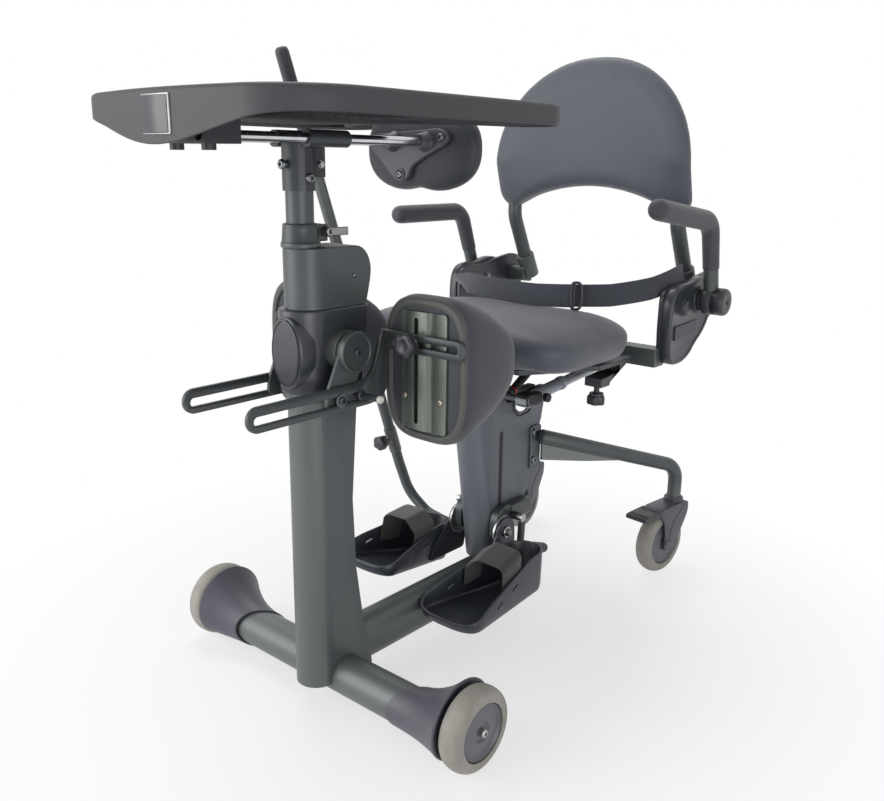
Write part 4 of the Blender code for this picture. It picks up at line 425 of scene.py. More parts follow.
def collar_and_lever():
    low, high, axis = 0.6503, 0.6797, (-0.006, 0.6687)
    ring = [(0.0178, low), (0.0247, low), (0.0252, low + 0.0006), (0.0250, low + 0.0056),
            (0.0243, low + 0.0064),
            (0.0238, low + 0.0072), (0.0224, high - 0.0060), (0.0222, high - 0.0016), (0.0214, high - 0.0003),
            (0.0206, high), (0.0178, high)]
    fit("collar_ring", turned(ring, "z", (0, -0.037), 72, loop=True), black_coat, "frame black_paint", 45.0,
        "mast_collar")
    for side, s in SIDES:
        block(f"collar_jaw_{side}", (s * 0.0011, s * 0.010), (-0.022, 0.0), (low + 0.006, high - 0.002),
              black_coat, "frame black_paint", 0.0014)
    barrel = [(0.0060, 0.0103), (0.0065, 0.0109), (0.0065, 0.0206), (0.0060, 0.0213), (0.0034, 0.0213),
              (0.0031, 0.0209)]
    fit("lever_barrel", turned(barrel, "x", axis, 40), black_coat, "collar_lever chrome", 30.0,
        "collar_lever")
    ring = [(0.0052, 0.0210), (0.0052, 0.0216), (0.0047, 0.0219), (0.0036, 0.0218), (0.0032, 0.0212)]
    fit("lever_ring", turned(ring, "x", axis, 40, loop=True), zinc, "collar_lever chrome", 30.0)
    block("lever_bar", (0.0135, 0.0180), (-0.003, 0.0285), (0.6630, 0.6735),
          bright_steel("burnished steel", "8c8880", 0.34, 0.1), "collar_lever chrome", 0.0012)


mast_covers()
collar_and_lever()
# The oval place for a badge on the sleeve is bare: a moulded surround, a bezel and a plain black face.
oval("badge_surround", 0.0300, 0.0485,
     [(1.0, -0.045), (0.995, -0.0640), (0.97, -0.0676), (0.93, -0.0690), (0.5, -0.0692)], gloss_black)
oval("badge_bezel", 0.0256, 0.0432,
     [(1.0, -0.066), (1.0, -0.0704), (0.988, -0.0712), (0.965, -0.0713), (0.955, -0.0706), (0.952, -0.0698),
      (0.5, -0.0697)], gloss_moulding("badge bezel", "303237", 0.22))
oval("badge_face", 0.0242, 0.0408,
     [(1.0, -0.0690), (1.0, -0.0705), (0.990, -0.0708), (0.982, -0.0709), (0.96, -0.0709), (0.3, -0.0709)],
     gloss_moulding("badge black", "1b1d20", 0.26))


# Tray: one moulding, hung over its rods by a block with two knobs. Its skirt is deep in front, where it is an
# apron, and its underside is ribbed. Fine-grained ABS.
tray_plastic = grained_moulding("grained ABS", "35363a", "434448", grain=0.0018, rough=0.54)
TRAY_TOP, TRAY_HALF, TRAY_FRONT, TRAY_REAR = 0.828, 0.210, -0.235, 0.245


def tray_outline(inset):
    """The tray from above: bowed front edge, wide front corners and two horns beside the belly cut-out."""
    corner, sweep, belly, belly_y, belly_deep, bow = 0.095, 0.035, 0.124, 0.202, 0.105, 0.16
    half = TRAY_HALF - inset
    right = [(x, TRAY_FRONT + inset + sweep * (x / TRAY_HALF) ** 2)
             for x in ((half - corner) * i / 16 for i in range(17))]
    right += arc((half - corner, right[-1][1] + corner), corner, bow - pi / 2, 0.0, 20)[1:]
    horn = (TRAY_HALF - belly) / 2
    right += arc((TRAY_HALF - horn, TRAY_REAR - horn), horn - inset, 0.0, pi, 24)
    right += arc((0.0, belly_y), (belly + inset, -belly_deep - inset), 0.0, pi / 2, 24)[1:]
    return right[:-1] + [(0.0, right[-1][1])] + [(-x, y) for x, y in reversed(right[1:-1])]


def skirt_low(x, y):
    """How low the skirt hangs: 27 mm all round, deeper in front."""
    apron = y < TRAY_FRONT + 0.075 and abs(x) < 0.190
    return TRAY_TOP - 0.027 - (0.031 * cos(x / 0.190 * pi / 2) ** 1.9 if apron else 0.0)


def tray():
    edge, hidden = tray_outline(0.0), tray_outline(0.0035)
    rings = [[(x, y, TRAY_TOP - 0.007) for x, y in tray_outline(0.006)],
             [(x, y, TRAY_TOP - 0.0085) for x, y in hidden]]
    for line, rise in ((hidden, 0.0015), (tray_outline(0.0028), 0.001), (tray_outline(0.0016), 0.0),
                       (edge, 0.0012)):
        rings.append([(x, y, skirt_low(*edge[i]) + rise) for i, (x, y) in enumerate(line)])
    rings.append([(x, y, TRAY_TOP - 0.016) for x, y in edge])
    for turn in (pi / 8 * k for k in range(5)):
        rings.append([(x, y, TRAY_TOP - 0.006 * (1 - sin(turn)))
                      for x, y in tray_outline(0.006 * (1 - cos(turn)))])
    for inset, drop in ((0.0115, 0.0), (0.0130, 0.0004), (0.0145, 0.0018), (0.0165, 0.0024), (0.03, 0.0024)):
        rings.append([(x, y, TRAY_TOP - drop) for x, y in tray_outline(inset)])
    bm = skin([[place(*p) for p in ring] for ring in rings])
    ends = [face for face in bm.faces if len(face.verts) > 4]
    for face in ends:
        face.normal_update()
    bmesh.ops.triangulate(bm, faces=ends, ngon_method="EAR_CLIP")
    fit("tray_top", bm, tray_plastic, "tray tray_plastic", 38.0, "tray")


tray()
eased("tray_block", black_plastic, "black_paint", 0.004, 4)
for side, s in SIDES:
    eased(f"tray_rod_{side}", chrome, "chrome")


def new_tree(name, **inputs):
    """An empty tree of geometry nodes with named inputs, and the sockets that give them."""
    tree = bpy.data.node_groups.new(name, "GeometryNodeTree")
    for label, kind in inputs.items():
        tree.interface.new_socket(label, in_out="INPUT", socket_type=f"NodeSocket{kind}")
    tree.interface.new_socket("Geometry", in_out="OUTPUT", socket_type="NodeSocketGeometry")
    return tree, add(tree, "NodeGroupInput").outputs


def end_tree(tree, laid, finish):
    """Makes what is laid out real and gives it its finish."""
    real = add(tree, "GeometryNodeRealizeInstances", {"Geometry": laid.outputs[0]})
    coat = add(tree, "GeometryNodeSetMaterial", {"Geometry": real.outputs[0], "Material": finish})
    add(tree, "NodeGroupOutput", {0: coat.outputs[0]})
    return tree


def laid_out(name, mesh, tree, home, **values):
    """A piece made by a tree from a mesh and its own values, turned to plain mesh."""
    made = bpy.data.objects.new(name, mesh)
    bpy.context.scene.collection.objects.link(made)
    laid = made.modifiers.new("Laid", "NODES")
    laid.node_group = tree
    for item in tree.interface.items_tree:
        if item.name in values:
            laid[item.identifier] = values[item.name]
    return fitted(baked(made), home)


def rib_tree():
    """Stiffening ribs along a row."""
    tree, given = new_tree("Rows of ribs", Rib="Vector", Step="Vector", Finish="Material", Count="Int",
                           Start="Vector")
    row = add(tree, "GeometryNodeMeshLine", {"Count": given["Count"], "Start Location": given["Start"],
                                             "Offset": given["Step"]})
    rib = add(tree, "GeometryNodeMeshCube", {"Size": given["Rib"]})
    laid = add(tree, "GeometryNodeInstanceOnPoints",
               {"Points": row.outputs[0], "Instance": rib.outputs["Mesh"]})
    return end_tree(tree, laid, given["Finish"])


rib_rows = rib_tree()
RIB_Z = TRAY_TOP - 0.0172
for part, rib, start, step, count in (
        ("left", (0.0022, 0.240, 0.0178), (-0.143, 0.090, RIB_Z), (-0.0088, 0, 0), 7),
        ("right", (0.0022, 0.240, 0.0178), (0.143, 0.090, RIB_Z), (0.0088, 0, 0), 7),
        ("front", (0.262, 0.0022, 0.0178), (0, -0.135, RIB_Z), (0, 0.018, 0), 13)):
    name = f"tray_ribs_{part}"
    laid_out(name, bpy.data.meshes.new(name), rib_rows, "tray tray_plastic", Rib=rib, Start=place(*start),
             Step=Vector(step), Count=count, Finish=tray_plastic)
# The square place for a badge on the apron is bare too.
block("tray_badge_frame", (-0.0175, 0.0330), (-0.2362, -0.2300), (0.7800, 0.8212), zinc, "tray tray_plastic")
block("tray_badge_face", (-0.0163, 0.0318), (-0.2370, -0.2310), (0.7812, 0.8200),
      gloss_moulding("tray badge black", "2a2b2e", 0.2), "tray tray_plastic", 0.0012)


# Fasteners: button heads with a socket, cross-recessed pan heads and hexagon bolts, zinc plated or black.
# One geometry nodes tree sets a head on each point, turned to face out of its surface.
HEAD_RINGS = {
    "hex": ((1.0, 0), (1.0, 0.14), (0.96, 0.2), (0.74, 0.2, "hex"), (0.74, 0.72, "hex"), (0.70, 0.80, "hex"),
            (0.66, 0.82)),
    "cross": ((1.0, 0), (1.0, 0.22), (0.93, 0.4), (0.72, 0.55), (0.62, 0.58, "cross"), (0.34, 0.25, "cross")),
    "socket": ((1.0, 0), (1.0, 0.2), (0.94, 0.42), (0.76, 0.6), (0.58, 0.64), (0.40, 0.62, "hex"),
               (0.38, 0.22, "hex"))}


def head_ring(size, z, shape="round"):
    points = []
    for turn in turns(48):
        reach = size
        if shape == "hex":
            reach = size / cos((turn % (pi / 3)) - pi / 6)
        if shape == "cross":
            fold = abs((turn % (pi / 2)) - pi / 4)
            reach = size * (0.34 + 0.66 * max(0.0, 1 - (pi / 4 - fold) / 0.30) ** 0.7)
        points.append((reach * cos(turn), reach * sin(turn), z))
    return points


# Each head is 1 across its radius and stands on z = 0. The heads go once their last copy is laid.
heads = {kind: solid(kind, skin([head_ring(*ring) for ring in HEAD_RINGS[kind]]), None, 35.0)
         for kind in ("socket", "cross", "hex")}


def head_tree():
    tree, given = new_tree("Heads on points", Points="Geometry", Head="Object", Seed="Int", Finish="Material")
    head = add(tree, "GeometryNodeObjectInfo", {"Object": given["Head"]}).outputs["Geometry"]
    aim = add(tree, "GeometryNodeInputNamedAttribute", {"Name": "aim"}, data_type="FLOAT_VECTOR")
    size = add(tree, "GeometryNodeInputNamedAttribute", {"Name": "size"}, data_type="FLOAT")
    spin = add(tree, "FunctionNodeRandomValue", {"Seed": given["Seed"]}, data_type="FLOAT")
    angle = add(tree, "ShaderNodeMath", {0: spin.outputs[1], 1: 2 * pi}, operation="MULTIPLY").outputs[0]
    about = add(tree, "FunctionNodeAxisAngleToRotation", {"Axis": (0, 0, 1), "Angle": angle}).outputs[0]
    face = add(tree, "FunctionNodeAlignRotationToVector", {"Vector": aim.outputs["Attribute"]},
               axis="Z").outputs[0]
    both = add(tree, "FunctionNodeRotateRotation", {0: face, 1: about}, rotation_space="LOCAL").outputs[0]
    laid = add(tree, "GeometryNodeInstanceOnPoints",
               {"Points": given["Points"], "Instance": head, "Rotation": both,
                "Scale": size.outputs["Attribute"]})
    return end_tree(tree, laid, given["Finish"])


heads_on_points = head_tree()


def fasteners(name, home, kind, finish, spots):
    """Heads of one kind on one body. A spot is x, y, z, the way that the head faces and its radius."""
    mesh = bpy.data.meshes.new(name)
    mesh.from_pydata([place(*spot[:3]) for spot in spots], [], [])
    aims = mesh.attributes.new("aim", "FLOAT_VECTOR", "POINT").data
    for point, spot in zip(aims, spots):
        point.vector = Vector(spot[3]).normalized()
    sizes = mesh.attributes.new("size", "FLOAT", "POINT").data
    for point, spot in zip(sizes, spots):
        point.value = spot[4]
    laid_out(name, mesh, heads_on_points, home, Head=heads[kind], Seed=7, Finish=finish)


fasteners("axle_bolts", "frame chrome", "socket", zinc,
          [(s * 0.2795, 0, WHEEL_Z, (s, 0, 0), 0.0056) for _, s in SIDES])
fasteners("mast_screws", "frame black_paint", "cross", blackened,
          [(s * 0.030, 0.026, 0.612, (s, 0, 0), 0.0030) for _, s in SIDES])
fasteners("head_bolts", "mast_upper chrome", "hex", zinc, [(0.0122, -0.012, 0.7505, (1, 0, 0), 0.0048)])
fasteners("head_screws", "mast_upper black_paint", "socket", blackened,
          [(0.0203, -0.037, 0.7345, (1, 0, 0), 0.0062), (-0.0203, -0.037, 0.7345, (-1, 0, 0), 0.0062),
           (0, -0.0625, 0.7505, (0, -1, 0), 0.0062), (-0.0122, -0.012, 0.7505, (-1, 0, 0), 0.0050)])
fit("head_set_screw", turned([(0.0040, -0.056), (0.0040, -0.0628)], "y", (0, 0.7505), 20, pole=False),
    blackened, "mast_upper black_paint")


# Chest support: a black bracket clamped on the rods' ends, with a kidney-shaped foam pad behind it.
# The pads are polyurethane foam with a skin of its own: smooth, soft-edged, matt, with a faint leather grain.
def skinned_foam(name, colour, pale, grain=0.0024, rough=0.5):
    made, tree, where = blank(name)
    cells = add(tree, "ShaderNodeTexVoronoi", {"Vector": where, "Scale": 1 / grain},
                feature="DISTANCE_TO_EDGE")
    pores = add(tree, "ShaderNodeTexNoise", {"Vector": where, "Scale": 700.0, "Detail": 2.0}).outputs["Fac"]
    clouds = add(tree, "ShaderNodeTexNoise", {"Vector": where, "Scale": 9.0, "Detail": 5.0}).outputs["Fac"]
    share = add(tree, "ShaderNodeMapRange",
                {"Value": clouds, "From Min": 0.3, "From Max": 0.75, "To Max": 0.55})
    grains = add(tree, "ShaderNodeMapRange",
                 {"Value": cells.outputs["Distance"], "To Max": 1.0, "From Max": 0.16})
    relief = add(tree, "ShaderNodeMath", {0: grains.outputs[0], 1: pores}, operation="ADD").outputs[0]
    return dressed(made, colour, pale, share.outputs[0], (clouds, rough - 0.05, rough + 0.1),
                   (relief, 0.13, 0.0003), Sheen_Weight=0.25, Sheen_Roughness=0.5)


cover = skinned_foam("grey skinned foam", "494d57", "555963")
pad_foam = skinned_foam("dark skinned foam", "2a2e36", "333740", rough=0.56)


def clamped(value):
    return min(1.0, max(0.0, value))


def powered(value, power):
    """A power that keeps the sign, for rounded boxes."""
    return copysign(abs(value) ** power, value)


def squircle(half_a, half_b, power, around):
    return [(half_a * powered(cos(t), 2 / power), half_b * powered(sin(t), 2 / power)) for t in turns(around)]


def stuffed(outline, half, seat, levels, edge, crown):
    """A padded form over an outline: full at its seam and crowned both ways. "seat" puts a point in place."""
    steepest = sin(pi * (0.5 - 1 / levels)) ** crown
    rings = []
    for lean in (pi * (i / levels - 0.5) for i in range(1, levels)):
        share = cos(lean) ** edge
        height = copysign(abs(sin(lean)) ** crown / steepest, lean) * half
        rings.append([seat(a * share, b * share, height) for a, b in outline])
    share = cos(pi * (1 / levels - 0.5)) ** edge
    inward = [share * w for w in (0.93, 0.85, 0.72, 0.55, 0.36, 0.16, 0.03)]
    top, bottom = [[[seat(a * w, b * w, height) for a, b in outline] for w in inward]
                   for height in (half, -half)]
    return skin([*reversed(bottom), *rings, *top])


def plumped(piece, voxel, pressure, cap, keep):
    """Remeshes a pad evenly, then lets cloth pressure fill its skin; keep says how free each point is."""
    net = piece.modifiers.new("Net", "REMESH")
    net.mode, net.voxel_size = "VOXEL", voxel
    mesh = baked(piece).data
    mesh.shade_smooth()
    start = [v.co.copy() for v in mesh.vertices]
    cloth = piece.modifiers.new("Cloth", "CLOTH").settings
    cloth.quality, cloth.mass, cloth.bending_stiffness = 4, 0.25, 3
    cloth.tension_stiffness = cloth.compression_stiffness = 25
    cloth.use_pressure, cloth.uniform_pressure_force = True, pressure
    cloth.effector_weights.gravity = 0
    scene = bpy.context.scene
    for step in range(1, 21):
        scene.frame_set(step)
    filled = piece.evaluated_get(bpy.context.evaluated_depsgraph_get())
    moved = [v.co.copy() for v in filled.data.vertices]
    piece.modifiers.clear()
    scene.frame_set(1)
    for vertex, old, new in zip(mesh.vertices, start, moved):
        step = new - old
        if step.length > cap:
            step = step.normalized() * cap
        vertex.co = old + step * keep(old)
    relax = piece.modifiers.new("Relax", "SMOOTH")
    relax.factor, relax.iterations = 0.5, 6
    finer = piece.modifiers.new("Finer", "SUBSURF")
    finer.levels = finer.render_levels = 1
    baked(piece).data.shade_smooth()
    return piece


def chest_pad():
    half, bottom, top, depth, front = 0.1025, 0.712, 0.832, 0.020, 0.1693
    middle, high = (bottom + top) / 2, (top - bottom) / 2
    outline = [(a, b + (0.006 * exp(-(a / 0.020) ** 2) if b < 0 else 0.0))
               for a, b in squircle(half, high, 2.45, 72)]

    def seat(a, b, height):
        share = (a / half) ** 2
        return place(a, front + depth + height + 0.004 * share * (height / depth + 1) / 2, middle + b)

    made = solid("chest_cushion", stuffed(outline, depth, seat, 16, 0.5, 0.8), pad_foam)
    rear = place(0, front, 0).y
    plumped(made, 0.004, 2.0, 0.0015, lambda co: clamped((co.y - rear - 0.004) / 0.01))
    fitted(made, "rod_carriage pad_foam", "chest_pad")


chest_pad()


def rounded_loop(points, bend, steps=8):
    """A closed outline with its corners turned into curves that start "bend" from each corner."""
    made = []
    for i, corner in enumerate(points):
        corner = Vector(corner)
        a, b = Vector(points[i - 1]) - corner, Vector(points[(i + 1) % len(points)]) - corner
        first = corner + a.normalized() * min(bend, a.length * 0.48)
        last = corner + b.normalized() * min(bend, b.length * 0.48)
        made += [first * (1 - t) ** 2 + corner * 2 * t * (1 - t) + last * t ** 2
                 for t in (k / steps for k in range(steps + 1))]
    return made


def slab(name, outline, axis, low, high, finish, home, ease=0.001, *stands_for):
    """A plate cut to an outline, with eased edges. The outline's pairs are y and z, or x and z for axis y."""
    made = solid(name, skin([[on_axis(axis, at, a, b) for a, b in outline] for at in (low, high)]), finish,
                 35.0)
    return fitted(bevelled(made, ease, 3, 50), home, *stands_for)


bracket_cast = grained_moulding("dark grey casting", "43454e", "50525b", rough=0.4)
slab("chest_casting", rounded_loop([(-0.068, 0.792), (-0.078, 0.776), (-0.036, 0.737), (-0.024, 0.7275),
                                    (-0.004, 0.7285), (0.004, 0.748), (0.030, 0.762), (0.066, 0.777),
                                    (0.072, 0.790), (0.056, 0.799)], 0.010),
     "y", 0.1612, 0.1690, bracket_cast, "rod_carriage black_paint", 0.0025, "chest_bracket")
bm = bmesh.new()
for s in (-1, 1):
    turned([(0.0063, 0.1465), (0.0098, 0.1465), (0.0108, 0.1475), (0.0112, 0.156), (0.0135, 0.1605),
            (0.0150, 0.1630), (0.0063, 0.1630)], "y", (s * 0.030, 0.781), 40, bm, loop=True)
turned([(0.0075, 0.1612), (0.0085, 0.1606), (0.0085, 0.1596), (0.0066, 0.1596), (0.0062, 0.1611)], "y",
       (-0.0165, 0.7375), 32, bm, loop=True)
fit("chest_collars", bm, bracket_cast, "rod_carriage black_paint", 50.0)
fasteners("chest_bolts", "rod_carriage black_paint", "socket", blackened,
          [(x, 0.1612, z, (0, -1, 0), 0.0052)
           for x, z in ((-0.064, 0.782), (0.058, 0.787), (-0.0165, 0.7375))])


# Knee supports: a disc and web plate on a boss, a folded slotted bar, a clamp knob, a rail and a foam cup.
# Bars are laser-cut flat steel, black coated. The rail is satin anodised aluminium, drawn upright.
def anodised(name, colour, rough=0.36):
    made, tree, where = blank(name)
    stretch = add(tree, "ShaderNodeMapping",
                  {"Vector": where, "Scale": (900.0, 900.0, 25.0)}).outputs["Vector"]
    lines = add(tree, "ShaderNodeTexNoise", {"Vector": stretch, "Scale": 1.0, "Detail": 3.0}).outputs["Fac"]
    return dressed(made, colour, "7f857c", lines, (lines, rough - 0.08, rough + 0.14), Metallic=0.85)


rail_alloy = anodised("anodised aluminium", "565c58")
KNEE_SHIFT = {"left": -0.0195, "right": 0.0}


def star_knob(name, centre, radius, low, high, home, axis="y", *stands_for):
    """A moulded hand knob: five lobes round its edge, a domed face and a dished middle."""
    rings = []
    for share, along in ((0.80, 0.0), (0.93, 0.04), (1.0, 0.16), (1.0, 0.74), (0.95, 0.90), (0.84, 0.98),
                         (0.60, 1.0), (0.48, 0.97), (0.40, 0.90), (0.10, 0.88)):
        lobe = 0.07 * clamped((share - 0.35) / 0.4)
        around = [(t, radius * share * (0.90 + lobe * cos(5 * t))) for t in turns(60)]
        rings.append([on_axis(axis, low + (high - low) * along,
                              centre[0] + reach * cos(t), centre[1] + reach * sin(t))
                      for t, reach in around])
    fit(name, skin(rings), knob_plastic, home, 50.0, *stands_for)


lip_foam = skinned_foam("paler front skinned foam", "3f423e", "4b4e49")
KNEE_CUP = ((0.0, 0.05, 0.05), (0.0, 0.40, 0.40), (0.0, 0.70, 0.74), (0.0, 0.795, 0.845),
            (-0.006, 0.815, 0.862),
            (-0.024, 0.825, 0.870), (-0.031, 0.845, 0.885), (-0.033, 0.880, 0.910), (-0.029, 0.925, 0.940),
            (-0.015, 0.962, 0.966), (0.02, 0.985, 0.986), (0.10, 1.0, 1.0), (0.22, 0.995, 0.965),
            (0.35, 0.985, 0.91),
            (0.48, 0.968, 0.845), (0.60, 0.95, 0.78), (0.70, 0.926, 0.705), (0.80, 0.90, 0.63),
            (0.88, 0.868, 0.56),
            (0.94, 0.83, 0.495), (0.98, 0.795, 0.445), (1.0, 0.755, 0.405), (0.995, 0.71, 0.375),
            (0.97, 0.66, 0.35),
            (0.92, 0.59, 0.305), (0.85, 0.50, 0.26), (0.79, 0.38, 0.20), (0.76, 0.25, 0.14),
            (0.75, 0.08, 0.05))


def knee_cup(side, s):
    """Foam cup: a raised lip round the panel that the rail lies on, and walls that taper past the knee."""
    middle_x, middle_z, front, depth = 0.1275 + KNEE_SHIFT[side], 0.4955, 0.0566, 0.1154
    outline = squircle(0.0725, 0.0965, 3.4, 96)
    rings = [[place(s * (middle_x + a * wide), front + depth * back, middle_z + 0.004 * back + b * high)
              for a, b in outline] for back, wide, high in KNEE_CUP]
    made = solid(f"knee_cup_{side}", skin(rings), pad_foam, 60.0)
    # The lip's faces that turn to the front, near the panel, take a paler foam.
    made.data.materials.append(lip_foam)
    for face in made.data.polygons:
        face.material_index = int(face.normal.y < -0.42 and face.center.y < place(0, front + 0.02, 0).y)
    fitted(made, f"knee_support_{side} pad_foam", f"knee_pad_{side}")


def carve(piece, cutter):
    """Takes a closed form out of a piece."""
    tool = solid("tool", cutter, piece.data.materials[0])
    cut = piece.modifiers.new("Cut", "BOOLEAN")
    cut.object, cut.operation, cut.solver = tool, "DIFFERENCE", "EXACT"
    baked(piece)
    bpy.data.objects.remove(tool)


def stadium(start, end, half):
    """The outline of a slot between two points."""
    along = Vector(end) - Vector(start)
    lean = atan2(along.y, along.x)
    ahead = arc(end, half, lean - pi / 2, lean + pi / 2, 16)
    return ahead + arc(start, half, lean + pi / 2, lean + pi * 1.5, 16)


def slot(piece, axis, low, high, start, end, half):
    carve(piece, skin([[on_axis(axis, at, a, b) for a, b in stadium(start, end, half)]
                       for at in (low, high)]))


def knee_web(side, s):
    hub, foot = (-0.004, 0.520), (-0.034, 0.4625)
    plate = arc(hub, 0.0265, 0.0, pi, 40)
    plate += rounded_loop([(-0.0305, 0.512), (-0.050, 0.478), (-0.054, 0.456), (-0.042, 0.449),
                           (-0.018, 0.452), (0.0225, 0.506)], 0.008)[9:-9]
    # The web is black coated like the bars, but drawn in the paler charcoal coat: painted light on its outer
    # face.
    slab(f"web_{side}", plate, "x", s * 0.0545, s * 0.0595, charcoal_coat, "frame black_paint", 0.0013,
         f"knee_web_{side}")
    disc = [(0.0270, 0.0590), (0.0270, 0.0643), (0.0266, 0.0654), (0.0257, 0.0660), (0.0234, 0.0660),
            (0.0224, 0.0654), (0.0218, 0.0648)]
    boss = [(0.0262, 0.0340), (0.0262, 0.0500), (0.0252, 0.0512), (0.0236, 0.0516), (0.0230, 0.0546)]
    bolt = [(0.0045, 0.0585), (0.0045, 0.0662), (0.0088, 0.0662), (0.0090, 0.0668), (0.0086, 0.0676)]
    for part, profile, centre, finish in (("disc", disc, hub, black_coat), ("boss", boss, hub, black_coat),
                                          ("washer", bolt, foot, blackened)):
        fit(f"knee_{part}_{side}", turned(profile, "x", centre, 72, s=s), finish, "frame black_paint", 35.0)
    fasteners(f"hub_bolts_{side}", "frame black_paint", "socket", gloss_black,
              [(s * 0.0648, *hub, (s, 0, 0), 0.0058), (s * 0.0676, *foot, (s, 0, 0), 0.0058)])


def knee_bar(side, s):
    """Laser-cut bar: a slotted run, a rise behind the hub, and a slotted arm folded outwards."""
    home = f"knee_bar_{side} black_paint"
    run = arc((-0.164, 0.464), 0.016, pi / 2, pi * 1.5, 32)
    run += rounded_loop([(-0.10, 0.448), (0.026, 0.448), (0.050, 0.460), (0.050, 0.5435), (0.041, 0.5435),
                         (0.034, 0.522), (0.024, 0.492), (0.006, 0.480), (-0.10, 0.480)], 0.013, 10)[11:-11]
    made = slab(f"bar_run_{side}", run, "x", s * 0.0598, s * 0.0658, black_coat, home, 0.0,
                f"knee_bar_{side}")
    slot(made, "x", s * 0.05, s * 0.08, (-0.165, 0.4625), (-0.001, 0.4625), 0.0055)
    reach = {"left": 0.1475, "right": 0.1865}[side]
    arm = [(0.0598, 0.5185), *arc((reach, 0.531), 0.0125, -pi / 2, pi / 2, 24), (0.0650, 0.5435),
           (0.0598, 0.5385)]
    cross = slab(f"bar_arm_{side}", [(s * x, z) for x, z in arm], "y", 0.044, 0.050, black_coat, home, 0.0)
    slot(cross, "y", 0.03, 0.06, (s * 0.086, 0.531), (s * reach, 0.531), 0.0035)
    for piece in (made, cross):
        bevelled(piece, 0.0010, 2, 50).data.set_sharp_from_angle(angle=radians(40))


def knee_rail(side, s):
    """Extruded section: a middle land with the slot, between two flanges set back from it."""
    shift, inner, outer = KNEE_SHIFT[side], 0.088, 0.165
    section = [(0.0880, 0.0541), (0.0884, 0.0537), (0.1000, 0.0537), (0.1010, 0.0532), (0.1022, 0.0507),
               (0.1030, 0.0503), (0.1335, 0.0503), (0.1343, 0.0507), (0.1382, 0.0537), (0.1425, 0.0537),
               (0.1440, 0.0529), (0.1645, 0.0529), (0.1650, 0.0534), (0.1650, 0.0563), (0.0880, 0.0563)]
    rings = [[place(s * (min(max(x, inner + trim), outer - trim) + shift), y, z) for x, y in section]
             for z, trim in ((0.416, 0.0035), (0.4166, 0.0018), (0.4180, 0.0006), (0.4205, 0.0),
                             (0.5675, 0.0), (0.5700, 0.0006), (0.5714, 0.0018), (0.572, 0.0035))]
    made = solid(f"rail_{side}", skin(rings), rail_alloy, 30.0)
    stud = s * (0.116 + shift)
    slot(made, "y", 0.03, 0.07, (stud, 0.4275), (stud, 0.5605), 0.0035)
    made.data.set_sharp_from_angle(angle=radians(30))
    fitted(made, f"knee_support_{side} rail", f"knee_rail_{side}")


passivated = bright_steel("yellow zinc plated steel", "b29a7c", 0.3)
nylon_white = grained_moulding("natural nylon", "d9d7cf", "e2e0d9", rough=0.35)
panel_foam = skinned_foam("moulded back panel", "2a2e36", "343840", grain=0.0016, rough=0.62)
KNEE_STOP = [(0.0062, 0.0600), (0.0066, 0.0606), (0.0066, 0.0680), (0.0042, 0.0690), (0.0042, 0.0990)]
KNEE_TIP = [(0.0040, 0.0985), (0.0048, 0.0992), (0.0048, 0.1030), (0.0036, 0.1042)]
for side, s in SIDES:
    knee_cup(side, s)
    knee_web(side, s)
    knee_bar(side, s)
    knee_rail(side, s)
    shift, support, clamp = KNEE_SHIFT[side], f"knee_support_{side}", f"knee_clamp_{side} black_plastic"
    outline = [(s * (0.1275 + shift) + a, 0.4955 + b) for a, b in squircle(0.0580, 0.0815, 3.6, 80)]
    slab(f"knee_panel_{side}", outline, "y", 0.0562, 0.0640, panel_foam, f"{support} pad_foam", 0.0006)
    stud = (s * (0.116 + shift), 0.531)
    star_knob(f"knee_star_{side}", stud, 0.0168, 0.0367, 0.0245, clamp, "y", f"knee_knob_{side}")
    bm = turned([(0.0105, 0.0437), (0.0105, 0.0405), (0.0085, 0.0385), (0.007, 0.0355)], "y", stud, 32,
                pole=False)
    turned([(0.003, 0.0559), (0.003, 0.0430)], "y", stud, 16, bm, pole=False)
    fit(f"knee_stud_{side}", bm, blackened, clamp)
    for part, profile, finish in (("stop", KNEE_STOP, gloss_black), ("stop_tip", KNEE_TIP, nylon_white)):
        fit(f"knee_{part}_{side}", turned(profile, "x", (0.0, 0.4635), 32, s=s), finish,
            f"knee_bar_{side} black_plastic")
    fasteners(f"rail_screws_{side}", f"{support} chrome", "cross", passivated,
              [(s * (x + shift), y, 0.4590, (0, -1, 0), 0.0042)
               for x, y in ((0.0942, 0.0537), (0.1560, 0.0529))])


# Column: folded steel round the lift cylinder, with a slot up each side for the foot supports.
# Coated grey outside. The cylinder inside it, its valve block and the line are black.
eased("column", column_coat, "column_paint")
eased("lift_cylinder", gloss_black, "black_paint")


def rounded_path(points, bend, steps=10):
    """A path whose inner corners are arcs of the radius that the tube was bent to."""
    path = [Vector(p) for p in points]
    made = [path[0]]
    for before, corner, after in zip(path, path[1:], path[2:]):
        a, b = (before - corner).normalized(), (after - corner).normalized()
        half = a.angle(b) / 2
        reach = min(bend / tan(half), 0.49 * min((before - corner).length, (after - corner).length))
        middle = corner + (a + b).normalized() * (reach * tan(half) / sin(half))
        first, last = corner + a * reach - middle, corner + b * reach - middle
        turn = first.angle(last)
        made += [middle + (first * sin((1 - share) * turn) + last * sin(share * turn)) / sin(turn)
                 for share in (i / steps for i in range(steps + 1))]
    return made + path[-1:]


def round_section(point, up, side, radius, sides):
    return [point + (up * sin(t) + side * cos(t)) * radius for t in turns(sides)]


